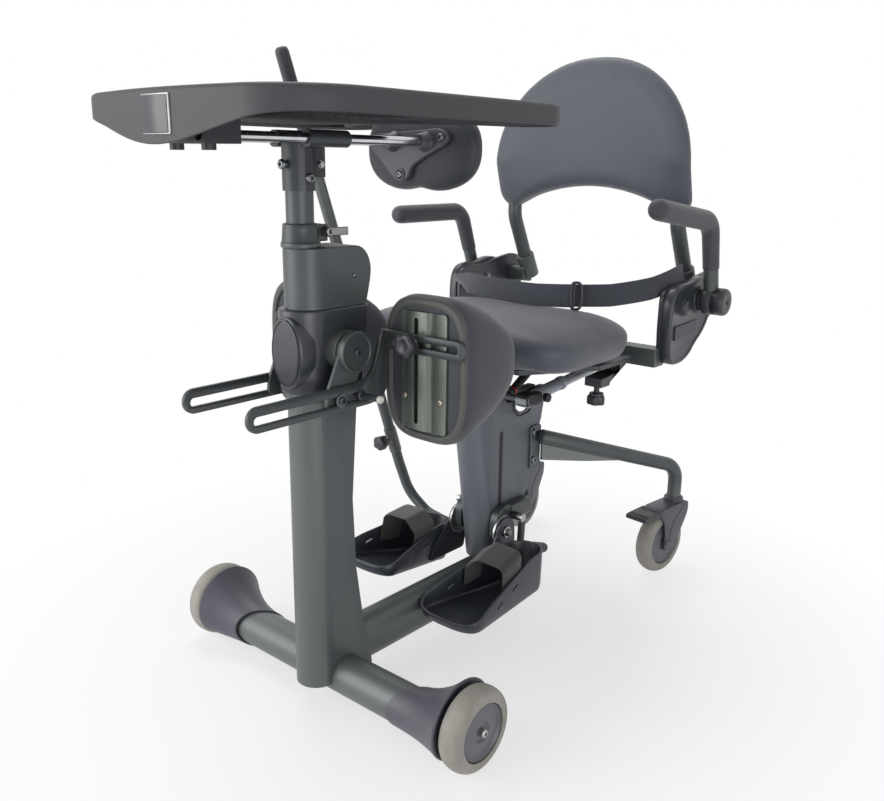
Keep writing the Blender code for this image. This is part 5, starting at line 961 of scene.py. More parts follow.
def tube(path, radius, sides=32):
    """A round tube swept along a path without twist. "radius" is one size, or one for each point."""
    sizes = radius if isinstance(radius, list) else [radius] * len(path)
    heading = (path[1] - path[0]).normalized()
    across = heading.orthogonal().normalized() if abs(heading.z) > 0.95 else Vector((0, 0, 1))
    rings = []
    for i, point in enumerate(path):
        ahead = path[min(i + 1, len(path) - 1)] - point
        behind = point - path[max(i - 1, 0)]
        heading = (ahead.normalized() + behind.normalized()).normalized()
        across = (across - heading * across.dot(heading)).normalized()
        rings.append(round_section(point, across, heading.cross(across), sizes[i], sides))
    return skin(rings)


def staff(start, along, profile, sides=32):
    """A round form on a line: pairs of place along it and radius."""
    return tube([start + along * at for at, _ in profile], [radius for _, radius in profile], sides)


for side, s in SIDES:
    start, corner, foot = (place(s * x, y, z) for x, y, z in
                           ((0.044, 0.452, 0.300), (0.165, 0.727, 0.205), (0.165, 0.727, 0.1473)))
    run = corner - start
    path = rounded_path([start, corner, foot], 0.036, 16)
    dome = [start + run.normalized() * at for at in (-0.0060, -0.0056, -0.0044, -0.0024)]
    sizes = [0.0012, 0.0055, 0.0090, 0.0116] + [0.01275] * len(path)
    fit(f"leg_{side}", tube(dome + path, sizes, 40), charcoal_coat, "frame frame_paint", 60.0,
        f"rear_leg_{side}")
    gusset = [start + run * share + Vector((0, 0, drop)) for share, drop in
              ((0.0, -0.002), (0.0, -0.042), (0.30, -0.028), (0.62, -0.009), (0.62, -0.002))]
    fit(f"gusset_{side}", skin([[p + Vector((dx, 0, 0)) for p in gusset] for dx in (-0.002, 0.002)]),
        charcoal_coat, "frame frame_paint")
    lug = rounded_loop([(0.434, 0.319), (0.434, 0.246), (0.448, 0.236), (0.462, 0.242), (0.464, 0.319)],
                       0.006)
    slab(f"leg_lug_{side}", lug, "x", s * 0.0303, s * 0.0345, column_coat, "frame frame_paint", 0.0014)
# The link's grey coat is drawn paler, as painted light from the white floor below it.
floor_lit_link_coat = powder_coat("grey powder coat lit from below", "8f939d", "b0b4bc")
# The lift arm, seen as a strip under the seat, takes the darkened coat as painted shadow under the seat.
eased("lift_arm", shadow_darkened_coat, "black_paint", 0.001)
eased("hip_frame", charcoal_coat, "frame_paint", 0.0012, 3)
eased("parallel_link", floor_lit_link_coat, "column_paint", 0.0006)
eased("cylinder_rod", chrome, "chrome", 0.0006)
dull_black = grained_moulding("black nitrile", "15161a", "1f2024", rough=0.6)
red_nylon = grained_moulding("red nylon", "b3261e", "c23a30", rough=0.35)


def valve():
    """Release valve: a black body on the column's side, a line to the cylinder, and a lever with a grip."""
    home = "valve_lever black_plastic"
    block("valve_body", (0.0305, 0.0460), (0.360, 0.425), (0.3800, 0.3985), dull_black, "frame black_paint",
          0.003)
    block("valve_clip", (0.0400, 0.0580), (0.404, 0.446), (0.3850, 0.3950), dull_black, "frame black_plastic",
          0.003)
    line = [place(*p) for p in ((0.041, 0.372, 0.386), (0.042, 0.368, 0.366), (0.042, 0.384, 0.350),
                                (0.042, 0.412, 0.352), (0.042, 0.430, 0.372), (0.042, 0.428, 0.388))]
    fit("valve_line", tube(rounded_path(line, 0.012, 8), 0.0016, 12), dull_black, "frame black_paint", 60.0)
    pivot, elbow, tip = place(0.049, 0.400, 0.374), place(0.050, 0.352, 0.400), place(0.055, 0.392, 0.4290)
    hub = [(0.0090, 0.0305), (0.0095, 0.0312), (0.0095, 0.0510), (0.0088, 0.0518)]
    fit("valve_hub", turned(hub, "x", (0.400, 0.372), 32), dull_black, home, 45.0, "valve_lever")
    route = [pivot, elbow - Vector((0, 0.006, -0.002)), elbow + (tip - elbow) * 0.2]
    fit("valve_arm", tube(rounded_path(route, 0.006, 8), 0.0042, 20), dull_black, home, 60.0)
    along = (tip - elbow).normalized()
    grip = [(0.0, 0.0048), (0.0006, 0.0062), (0.002, 0.0068), (0.044, 0.0072), (0.0465, 0.0068),
            (0.0478, 0.0058), (0.0482, 0.0040)]
    fit("valve_grip", staff(elbow, along, grip, 28), dull_black, home, 50.0)
    tie = [(0.0020, 0.0068), (0.0020, 0.0081), (0.0046, 0.0081), (0.0046, 0.0068)]
    fit("valve_tie", staff(elbow, along, tie, 28), red_nylon, home, 30.0)


valve()
block("link_boot", (0.1015, 0.1295), (0.2860, 0.3260), (0.3990, 0.4190), dull_black,
      "seat_link black_plastic", 0.006)
knob = [(0.0066, 0.1280), (0.0070, 0.1288), (0.0070, 0.1345), (0.0060, 0.1356), (0.0001, 0.1358)]
fit("link_boot_knob", turned(knob, "x", (0.3320, 0.4080), 32), dull_black, "seat_link black_plastic")
for side, s in SIDES:
    star_knob(f"seat_knob_{side}", (s * 0.165, 0.4205), 0.0150, 0.3865, 0.4020, "lift_arm black_paint", "z")
fasteners("leg_bolts", "frame black_paint", "socket", blackened,
          [(s * 0.0345, 0.4425, z, (s, 0, 0), 0.0066) for _, s in SIDES for z in (0.3080, 0.2580)])
# A thin gloss black sheet on the inside of the column's left wall, behind the slot: painted shade for the
# column's dark inside.
block("column_liner", (-0.0262, -0.0246), (0.335, 0.385), (0.160, 0.345), gloss_black, "frame column_paint",
      0.0005)
# Each open slot in the column is covered by a black sheet: painted shade for the slot's dark inside, not a
# real lip.
for side, s in SIDES:
    slab(f"slot_lip_{side}", stadium((0.3545, 0.1915), (0.3545, 0.3215), 0.0048), "x", s * 0.0299,
         s * 0.03015, dull_black, "frame column_paint", 0.0)


# Casters: moulded grey hood over a fork, a ribbed brake pedal hinged on its front edge, and the wheel inside.
# The hood is grained nylon; the pedal is black polypropylene with four ridges for the shoe.
caster_plastic = grained_moulding("grey nylon hood", "4a4c57", "585a65", rough=0.4)


def caster(side, s):
    x, y, wheel_y, wheel_z, outer = s * 0.165, 0.727, 0.688, 0.0651, 0.0200
    fork, pedal = f"caster_fork_{side} grey_moulding", f"brake_pedal_{side} black_plastic"
    stem = place(x, y, 0)
    turn = Matrix.Translation(stem) @ Matrix.Rotation(-s * radians(7), 4, "Z") @ Matrix.Translation(-stem)
    hood = rounded_loop([(0.749, 0.1325), (0.744, 0.1370), (0.6628, 0.1365), (0.6628, 0.1215),
                         (0.6735, 0.1090),
                         (0.6795, 0.0800), (0.6790, 0.0500), (0.6990, 0.0490), (0.7190, 0.0680),
                         (0.7350, 0.0920), (0.7480, 0.1130)], 0.0075)
    body = slab(f"caster_hood_{side}", hood, "x", x - outer, x + outer, caster_plastic, fork, 0.0,
                f"caster_fork_{side}")
    carve(body, turned([(0.0636, x - 0.0164), (0.0636, x + 0.0164)], "x", (wheel_y, wheel_z), 96, pole=False))
    bevelled(body, 0.0022, 3, 50, False).data.shade_smooth()
    body.data.set_sharp_from_angle(angle=radians(45))
    made = [body]
    sweep = rounded_loop([(0.7470, 0.1330), (0.7440, 0.1150), (0.7280, 0.0990), (0.7060, 0.0830),
                          (0.6985, 0.0640),
                          (0.6930, 0.0640), (0.6950, 0.0900), (0.7080, 0.1090), (0.7250, 0.1230),
                          (0.7330, 0.1330)],
                         0.006)
    for k, at in ((1, x + outer - 0.0008), (2, x - outer - 0.0008)):
        made.append(slab(f"caster_rib_{side}_{k}", sweep, "x", at, at + 0.0016, caster_plastic, fork, 0.0006))
    rings = [(0.0001, 0.1330), (0.0188, 0.1345), (0.0190, 0.1382), (0.0183, 0.1390), (0.0168, 0.1392),
             (0.0168, 0.1404), (0.0178, 0.1408), (0.0178, 0.1438), (0.0170, 0.1446), (0.0148, 0.1450),
             (0.0144, 0.1470)]
    bm = turned(rings, "z", (x, y), 64)
    pin = [(0.0050, -0.0216), (0.0055, -0.0210), (0.0055, 0.0210), (0.0050, 0.0216)]
    turned([(r, x + at) for r, at in pin], "x", (wheel_y, wheel_z), 32, bm)
    made.append(fit(f"caster_rings_{side}", bm, caster_plastic, fork, 35.0))
    tread = rounded_loop([(0.6620, 0.1366), (0.6110, 0.1345), (0.6070, 0.1322), (0.6072, 0.1262),
                          (0.6110, 0.1245), (0.6600, 0.1235)], 0.003, 6)
    made.append(slab(f"pedal_{side}", tread, "x", x - 0.0215, x + 0.0215, black_plastic, pedal, 0.0014,
                     f"brake_pedal_{side}"))
    for k, at in enumerate((0.6545, 0.6480, 0.6190, 0.6145)):
        high = 0.1361 - (0.6620 - at) * 0.04
        made.append(block(f"pedal_ridge_{side}_{k}", (x - 0.0190, x + 0.0190), (at - 0.0011, at + 0.0011),
                          (high - 0.002, high + 0.0013), black_plastic, pedal, 0.0007))
    for piece in made:
        piece.data.transform(turn)
    wheel(f"caster_wheel_{side}", x, 0.030, (wheel_y, wheel_z), 0.0596, 0.0405, turn)


for side, s in SIDES:
    caster(side, s)


# Seat: a board under moulded foam with a skin of its own, matt grey, screwed on the pan from below.
# It is crowned in the middle, thin at its sides and rounded over in front.
def seat_cushion():
    half_x, front, rear, bottom, half = 0.205, 0.232, 0.496, 0.4548, 0.035
    middle, half_y = (front + rear) / 2, (rear - front) / 2

    def seat(a, b, height):
        side = (a / half_x) ** 2
        if height < 0:
            shape = height - 0.009 * clamped((abs(a) - 0.145) / 0.035) * min(1.0, -2 * height / half)
        else:
            shape = height * (1 - 0.42 * side ** 2) + 0.003 * side * height / half
        return place(a * 1.004, middle + b, bottom + half + 0.004 * side + shape)

    made = solid("seat_foam", stuffed(squircle(half_x, half_y, 4.6, 120), half, seat, 20, 0.40, 0.85), cover)
    under = place(0, 0, bottom).z
    plumped(made, 0.005, 3.0, 0.002, lambda co: clamped((co.z - under - 0.006) / 0.02))
    fitted(made, "seat vinyl", "seat_cushion")


seat_cushion()


# Back: an arched foam pad on two tubes that come up from the hip plates. It wraps forwards at its sides.
# The pad is the seat's foam; the tubes are coated steel, plugged into sockets that are bolted to the plates.
BACK_HALF, BACK_LOW, BACK_HIGH = 0.198, 0.673, 0.935


def back_outline():
    high, corner, shoulder = BACK_HIGH - BACK_LOW, 0.030, 0.075
    flat = BACK_HALF - corner
    right = [(x, 0.040 * (1 - (x / flat) ** 2)) for x in (flat * i / 16 for i in range(17))]
    right += arc((flat, corner), corner, -pi / 2, 0.0, 10)[1:]
    for turn in (pi / 2 * i / 32 for i in range(1, 32)):
        right.append((BACK_HALF * abs(cos(turn)) ** 0.93, shoulder + (high - shoulder) * sin(turn) ** 1.02))
    return right + [(0.0, high)] + [(-x, z) for x, z in reversed(right[1:])]


def back_cushion():
    centre = 0.115

    def seat(a, b, height):
        wrap = 0.026 * (a / BACK_HALF) ** 2 * clamped((b + centre) / 0.080)
        return place(a, 0.646 - wrap - height, BACK_LOW + centre + b)

    outline = [(x, z - centre) for x, z in back_outline()]
    made = solid("back_foam", stuffed(outline, 0.023, seat, 16, 0.32, 0.72), cover)
    plumped(made, 0.005, 3.0, 0.002, lambda co: 1.0)
    fitted(made, "hips vinyl", "back_cushion")


back_cushion()
BACK_SOCKET = rounded_loop([(0.676, 0.528), (0.709, 0.524), (0.703, 0.556), (0.676, 0.556)], 0.008)
BACK_BRACKET = rounded_loop([(0.530, 0.447), (0.526, 0.500), (0.528, 0.558), (0.560, 0.566), (0.590, 0.563),
                             (0.640, 0.573), (0.690, 0.580), (0.722, 0.572), (0.730, 0.540), (0.722, 0.508),
                             (0.690, 0.486), (0.640, 0.470), (0.600, 0.448), (0.565, 0.442)], 0.016)
for side, s in SIDES:
    route = [place(s * 0.170, y, z) for y, z in ((0.703, 0.542), (0.681, 0.584), (0.646, 0.655),
                                                 (0.646, 0.705))]
    fit(f"back_tube_bent_{side}", tube(rounded_path(route, 0.05, 12), 0.013, 40), charcoal_coat,
        "hips frame_paint", 50.0, f"back_tube_{side}")
    along = route[1] - route[0]
    sleeve = [(0.0, 0.0156), (0.00056, 0.01651), (0.0014, 0.017), (along.length - 0.0014, 0.017),
              (along.length - 0.00056, 0.01651), (along.length, 0.0156)]
    fit(f"back_sleeve_{side}", staff(route[0] - along * 0.10, along.normalized(), sleeve, 40), charcoal_coat,
        "hips frame_paint", 50.0)
    slab(f"back_socket_{side}", BACK_SOCKET, "x", s * 0.168, s * 0.2070, charcoal_coat, "hips frame_paint",
         0.0015)
    slab(f"back_bracket_{side}", BACK_BRACKET, "x", s * 0.2060, s * 0.2131, gloss_black, "hips moulded_black",
         0.0016)


# Hip plates: glossy moulded covers over the ends of the seat's cross tube, each with a knob and a bare place.
# Each is a shell with a rounded rim and a panel set back inside it, held by screws from the inner side.
PLATE = ((0.528, 0.441), (0.524, 0.500), (0.526, 0.545), (0.540, 0.565), (0.565, 0.569), (0.592, 0.569),
         (0.625, 0.577), (0.655, 0.573), (0.669, 0.548), (0.667, 0.505), (0.645, 0.480), (0.618, 0.464),
         (0.600, 0.447), (0.570, 0.4375))
PLATE_RIM = ((0.2133, 0.0026), (0.2139, 0.0010), (0.2153, 0.0), (0.2285, 0.0), (0.2303, 0.0008),
             (0.2314, 0.0022),
             (0.2317, 0.0036), (0.2317, 0.0052), (0.2313, 0.0062), (0.2300, 0.0068), (0.2297, 0.0080))
ARM_HUB = (0.626, 0.538)
label_plastic = gloss_moulding("label face", "1d1f22", 0.4)


def offset_loop(points, inset):
    """An outline moved inwards. Its points run clockwise or anticlockwise."""
    area = sum(a.x * b.y - b.x * a.y for a, b in zip(points, points[1:] + points[:1]))
    made = []
    for i, point in enumerate(points):
        along = (points[(i + 1) % len(points)] - points[i - 1]).normalized()
        made.append(point + Vector((-along.y, along.x)) * copysign(inset, area))
    return made


def side_plate(side, s):
    loop = rounded_loop(PLATE, 0.030, 5)
    rings = [[place(s * x, y, z) for y, z in offset_loop(loop, inset)] for x, inset in PLATE_RIM]
    fit(f"hip_plate_{side}", skin(rings), gloss_black, "hips moulded_black", 50.0, f"side_plate_{side}")
    knob = [(0.0146, 0.2290), (0.0146, 0.2306), (0.0126, 0.2314), (0.0120, 0.2352), (0.0104, 0.2370),
            (0.0070, 0.2380), (0.0001, 0.2382)]
    collar = [(0.0225, 0.2290), (0.0225, 0.2308), (0.0215, 0.2317)]
    stub = [(0.0068, 0.2290), (0.0068, 0.2640)]
    bm = bmesh.new()
    for profile, centre in ((knob, (0.572, 0.530)), (collar, ARM_HUB), (stub, ARM_HUB)):
        turned(profile, "x", centre, 48, bm, s=s)
    fit(f"hip_plate_fittings_{side}", bm, gloss_black, "hips moulded_black", 35.0)
    for part, scale, high, ease, finish in (("frame", 1.0, 0.2318, 0.0009, gloss_black),
                                            ("bare", 0.84, 0.2321, 0.0003, label_plastic)):
        outline = rounded_loop([(0.5430, 0.4790), (0.6225, 0.4850), (0.6245, 0.5065), (0.5430, 0.5025)],
                               0.003)
        middle = sum(outline, Vector((0, 0))) / len(outline)
        outline = [middle + (point - middle) * scale - Vector((0, 0.001 * (1 - scale))) for point in outline]
        slab(f"label_{part}_{side}", outline, "x", s * 0.2290, s * high, finish, "hips moulded_black", ease)
    fasteners(f"plate_bolts_{side}", "hips black_paint", "hex", blackened,
              [(s * 0.2060, 0.560, 0.524, (-s, 0, 0), 0.0085),
               (s * 0.2060, 0.610, 0.540, (-s, 0, 0), 0.0070)])


# Arms: bent steel tube on a hub that flips up, a foam grip over its level run and a cap over its pivot.
# Tube and hub are powder coated; the grip is smooth closed-cell foam with a domed end.
grip_foam = skinned_foam("black grip foam", "34373d", "404349", grain=0.0014, rough=0.56)
ARM_TIP = {"left": (0.432, 0.691, radians(8)), "right": (0.424, 0.6915, 0.0)}
GRIP_DOME = ((-0.0165, 0.10), (-0.0162, 0.34), (-0.0150, 0.58), (-0.0125, 0.78), (-0.0085, 0.92),
             (-0.0035, 0.985), (0.002, 1.0))


def arm(side, s):
    home = f"arm_{side} black_plastic"
    tip_y, tip_z, lean = ARM_TIP[side]
    hub, drop = place(s * 0.250, *ARM_HUB), Matrix.Rotation(lean, 3, "X")
    tip, bend = [hub + drop @ (place(s * 0.250, y, z) - hub) for y, z in ((tip_y, tip_z), (0.598, 0.668))]
    along = (bend - tip).normalized()
    fit(f"arm_tube_{side}", tube(rounded_path([hub + (bend - hub) * 0.03, bend, tip], 0.032, 20), 0.012, 40),
        black_coat, home, 50.0, f"arm_{side}")
    curve = rounded_path([tip, bend, hub + (bend - hub) * 0.42], 0.034, 20)
    path = [tip + along * at for at, _ in GRIP_DOME] + curve[1:]
    sizes = [0.016 * share for _, share in GRIP_DOME] + [0.016]
    sizes += [0.016 - 0.0022 * k / 20 for k in range(len(curve) - 3)] + [0.0138] * len(path)
    sizes = sizes[:len(path) - 1] + [0.0132]
    fit(f"arm_grip_{side}", tube(path, sizes, 40), grip_foam, home, 60.0)
    shaft = [(0.0170, 0.2322), (0.0175, 0.2328), (0.0175, 0.2610)]
    cap = [(0.0205, 0.2390), (0.0220, 0.2400), (0.0224, 0.2420), (0.0224, 0.2560), (0.0221, 0.2563),
           (0.0221, 0.2568), (0.0224, 0.2571), (0.0224, 0.2715), (0.0218, 0.2742), (0.0202, 0.2762),
           (0.0178, 0.2770), (0.0045, 0.2772), (0.0036, 0.2766), (0.0030, 0.2740), (0.0001, 0.2738)]
    for part, profile, finish in (("hub", shaft, black_coat), ("cap", cap, knob_plastic)):
        fit(f"arm_{part}_{side}", turned(profile, "x", ARM_HUB, 64, s=s), finish, home, 45.0)


for side, s in SIDES:
    side_plate(side, s)
    arm(side, s)


# Lap belt: 38 mm woven webbing from hip plate to hip plate, its loose end folded back through a ring.
# Woven polyester: fine cross ribs, matt and hairy, nearly black. The foot straps are the same, but browner.
def woven(name, colour, pale, thread=0.0022):
    """Plain weave on the piece's own UV map, which is in metres. Threads are drawn about twice real size."""
    made, tree, _ = blank(name)
    where = add(tree, "ShaderNodeUVMap", uv_map="weave").outputs["UV"]
    over = add(tree, "ShaderNodeTexWave", {"Vector": where, "Scale": 0.5 / thread, "Distortion": 0.6},
               bands_direction="X")
    across = add(tree, "ShaderNodeTexWave", {"Vector": where, "Scale": 0.3 / thread, "Distortion": 0.4},
                 bands_direction="Y")
    cloth = add(tree, "ShaderNodeMath", {0: over.outputs["Fac"], 1: across.outputs["Fac"]},
                operation="MULTIPLY")
    return dressed(made, colour, pale, cloth.outputs[0], relief=(cloth.outputs[0], 0.5, 0.0005),
                   Roughness=0.78, Sheen_Weight=0.5)


belt_web = woven("black webbing", "343741", "474b55")
strap_web = woven("brown-black webbing", "33312f", "464340")
belt_pale = woven("worn black webbing", "3b3f49", "545862")


def ribbon(name, path, across, width, thick, finish, home, *stands_for):
    """A strap swept along a path, and its length. "across" gives the direction of its width at each point."""
    bm = bmesh.new()
    uv = bm.loops.layers.uv.new("weave")
    rows, run = [], 0.0
    for i, point in enumerate(path):
        ahead = (path[min(i + 1, len(path) - 1)] - path[max(i - 1, 0)]).normalized()
        wide = across[i].normalized()
        out = ahead.cross(wide).normalized()
        run += (point - path[i - 1]).length if i else 0.0
        row = []
        for layer, share in [(layer, (k / 8 - 0.5) * layer) for layer in (1, -1) for k in range(9)]:
            puff = thick / 2 * (1 - (2 * share) ** 6 * 0.75)
            row.append((bm.verts.new(point + wide * width * share + out * puff * layer),
                        (run, width * share)))
        rows.append(row)
    for low, high in zip(rows, rows[1:]):
        for i in range(len(low)):
            j = (i + 1) % len(low)
            corners = (low[i], low[j], high[j], high[i])
            face = bm.faces.new([vertex for vertex, _ in corners])
            for loop, (_, place_on) in zip(face.loops, corners):
                loop[uv].uv = place_on
    bm.faces.new([vertex for vertex, _ in reversed(rows[0])])
    bm.faces.new([vertex for vertex, _ in rows[-1]])
    return fit(name, bm, finish, home, 60.0, *stands_for), round(run, 3)


BELT_HIGH = ((0.0, 0.524), (0.12, 0.532), (0.30, 0.548), (0.55, 0.5455), (0.75, 0.552), (0.88, 0.563),
             (1.0, 0.580))
BELT_LEAN = ((0.0, 1.40), (0.12, 1.10), (0.27, 0.22), (0.60, 0.0), (1.0, -0.12))


def belt_run(first, last, outwards, count=72):
    """Points along the belt and the way its width faces there. It leaves the left plate nearly flat."""
    path, across = [], []
    for share in (first + (last - first) * i / count for i in range(count + 1)):
        turn, lean = pi * share, between(BELT_LEAN, share)
        point = place(-0.2085 * cos(turn), 0.600 - 0.165 * sin(turn) ** 0.8, between(BELT_HIGH, share))
        out = Vector((-0.9 * cos(turn), -sin(turn), 0)).normalized()
        path.append(point + out * outwards)
        across.append(Vector((0, 0, 1)) * cos(lean) + out * sin(lean))
    return path, across


def lap_belt():
    belt, run = ribbon("belt_webbing", *belt_run(0.0, 1.0, 0.0), 0.036, 0.0022, belt_web, "hips webbing",
                       "lap_belt")
    tail, run = ribbon("belt_tail", *belt_run(0.10, 0.655, 0.0034), 0.0375, 0.0022, belt_pale, "hips webbing")

    path, across = belt_run(0.625, 0.690, 0.003, 8)
    middle, wide = path[4], across[4].normalized()
    ahead = (path[5] - path[3]).normalized()
    out = ahead.cross(wide).normalized()
    out *= -1 if out.y > 0 else 1
    loop = [middle + ahead * 0.0105 * powered(cos(t), 0.6) * (1.0 if cos(t) > 0 else 0.75)
            + wide * 0.0215 * powered(sin(t), 0.75) + out * 0.0022 for t in turns(48)]
    rings = [round_section(point, out,
                           (loop[(k + 1) % 48] - loop[k - 1]).normalized().cross(out).normalized(),
                           0.0024, 12) for k, point in enumerate(loop)]
    fit("belt_ring", skin(rings, loop=True), gloss_black, "hips black_plastic", 60.0)

    bm = bmesh.new()
    for row in (0.60, 0.618):
        path, across = belt_run(row, row + 0.004, 0.0046, 2)
        wide, along = across[1].normalized(), (path[2] - path[0]).normalized()
        for spot in (path[1] + wide * 0.0285 * (k / 8 - 0.5) for k in range(9)):
            skin([round_section(spot + wide * w, wide.cross(along).normalized(), along, r, 6)
                  for w, r in ((-0.0013, 0.0001), (-0.0009, 0.0004), (0.0009, 0.0004), (0.0013, 0.0001))], bm)
    fit("belt_stitches", bm, belt_web, "hips webbing")


lap_belt()


# Pump lever: a bent steel tube pivoted behind the left foot, in two lengths clamped by a star knob.
# The tube is powder coated; its grip is the arms' foam, slipped over the end and domed.
def pump_lever():
    home, pivot = "pump_lever black_plastic", (0.410, 0.100)
    route = [place(*p) for p in ((-0.048, *pivot), (-0.118, 0.403, 0.108), (-0.172, 0.400, 0.118),
                                 (-0.2150, 0.396, 0.150), (-0.2215, 0.376, 0.211), (-0.2230, 0.127, 0.911))]
    path = rounded_path(route, 0.05)
    fit("pump_tube", tube(path, 0.0095), charcoal_coat, "pump_lever frame_paint", 60.0, "pump_lever")
    up = (path[-1] - path[-2]).normalized()
    grip = [(0.130, 0.0095), (0.1296, 0.0102), (0.1285, 0.0106), (0.020, 0.0106), (0.004, 0.0104),
            (-0.001, 0.0094), (-0.0035, 0.0072), (-0.0045, 0.0040), (-0.0047, 0.0006)]
    fit("pump_grip", staff(path[-1], -up, grip), grip_foam, home, 60.0)
    at = route[-2] + (route[-1] - route[-2]) * 0.07
    clamp = [(-0.024, 0.0096), (-0.0235, 0.0112), (0.0235, 0.0112), (0.024, 0.0096)]
    fit("pump_clamp", staff(at, up, clamp), black_coat, "pump_lever frame_paint")
    x, y, z = at - place(0, 0, 0)
    star_knob("pump_star", (x, z), 0.0140, y - 0.0385, y - 0.0215, home)
    bm = turned([(0.0060, y - 0.0220), (0.0060, y - 0.0150), (0.0075, y - 0.0140), (0.0075, y - 0.004)],
                "y", (x, z), 24, pole=False)
    turned([(0.0138, -0.0600), (0.0142, -0.0594), (0.0142, -0.0309), (0.0138, -0.0303)], "x", pivot, 40, bm,
           pole=False)
    fit("pump_fittings", bm, blackened, home)


pump_lever()


# Foot supports: a coated bracket that slides on the column, a moulded foot tray and an instep strap.
# The tray is polypropylene, with walls that rise to the heel and slots for the strap, held by its stiffness.
# The trays' black polypropylene is drawn lighter than the pedals': its own colour, plus painted light on the
# tray floors.
lit_foot_plastic = grained_moulding("black foot tray polypropylene", "2c3038", "3c414b", rough=0.36)
ANKLE = (0.345, 0.160)
FOOT_RIM = ((0.100, 0.086), (0.150, 0.094), (0.204, 0.116), (0.304, 0.146), (0.386, 0.148))
# Inset and height of each line round the tray. The lines on its rim give their height from the rim's.
FOOT_OUTSIDE = ((0.0085, 0.0780), (0.0055, 0.0784), (0.0030, 0.0805), (0.0010, 0.0880))
FOOT_LIP = ((0.0, -0.0014), (0.0005, -0.0004), (0.0014, 0.0), (0.0026, 0.0), (0.0035, -0.0004),
            (0.0040, -0.0014))
FOOT_INSIDE = ((0.0050, 0.0885), (0.0062, 0.0848), (0.0085, 0.0826), (0.0120, 0.0820))


def foot_outline(inset):
    """The tray from above: a wide toe, square at its corners, straight sides and a round heel."""
    toe, half, heel, heel_half, toe_y, heel_y = 0.084, 0.058 - inset, 0.0945, 0.0345 - inset, 0.1735, 0.330
    made = [(toe - half * powered(cos(t), 0.7), toe_y - (0.030 - inset) * max(0.0, sin(t)) ** 0.8)
            for t in (pi * i / 40 for i in range(41))]
    shares = [i / 16 for i in range(1, 16)]
    made += [(toe + half + (heel + heel_half - toe - half) * t, toe_y + (heel_y - toe_y) * t) for t in shares]
    made += arc((heel, heel_y), (heel_half, 0.036 - inset), 0.0, pi, 30)
    return made + [(heel - heel_half + (toe - half - heel + heel_half) * t, heel_y - (heel_y - toe_y) * t)
                   for t in shares]


def foot_shell(side, s):
    rim = [between(FOOT_RIM, y) for _, y in foot_outline(0.0)]
    rings = []
    for levels, on_rim in ((FOOT_OUTSIDE, False), (FOOT_LIP, True), (FOOT_INSIDE, False)):
        rings += [[place(s * x, y, high + z if on_rim else min(z, high - 0.003))
                   for high, (x, y) in zip(rim, foot_outline(inset))] for inset, z in levels]
    shell = solid(f"foot_tray_{side}", skin(rings), lit_foot_plastic, 45.0)
    for y, z in ((0.219, 0.1030), (0.262, 0.1160)):
        bm = bmesh.new()
        bmesh.ops.create_cube(bm, size=1.0)
        for vertex in bm.verts:
            along = vertex.co.y * 0.015
            vertex.co = place(s * (0.084 + vertex.co.x * 0.3), y + along,
                              z + along * 0.45 + vertex.co.z * 0.0036)
        carve(shell, bm)
    shell.data.set_sharp_from_angle(angle=radians(45))
    return fitted(shell, f"foot_{side} black_plastic", f"foot_plate_{side}")


def instep_strap(side, s):
    corners = [place(s * x, 0.262, z) for x, z in ((0.0522, 0.1040), (0.0524, 0.1420), (0.0780, 0.1605),
                                                  (0.1268, 0.1590), (0.1268, 0.1045))]
    path = rounded_path(corners, 0.011, 12)
    even = []
    for a, b in zip(path, path[1:]):
        steps = max(1, int((b - a).length / 0.004))
        even += [a + (b - a) * k / steps for k in range(steps)]
    even.append(path[-1])
    high, full, span = place(0, 0, 0.102).z, 0.296, 0.026
    wide = [Vector((0, 0.955, full * clamped((p.z - high) / span))) for p in even]
    strap, run = ribbon(f"instep_strap_{side}", even, wide, 0.050, 0.0026, strap_web, f"foot_{side} webbing",
                        f"foot_strap_{side}")
    return strap


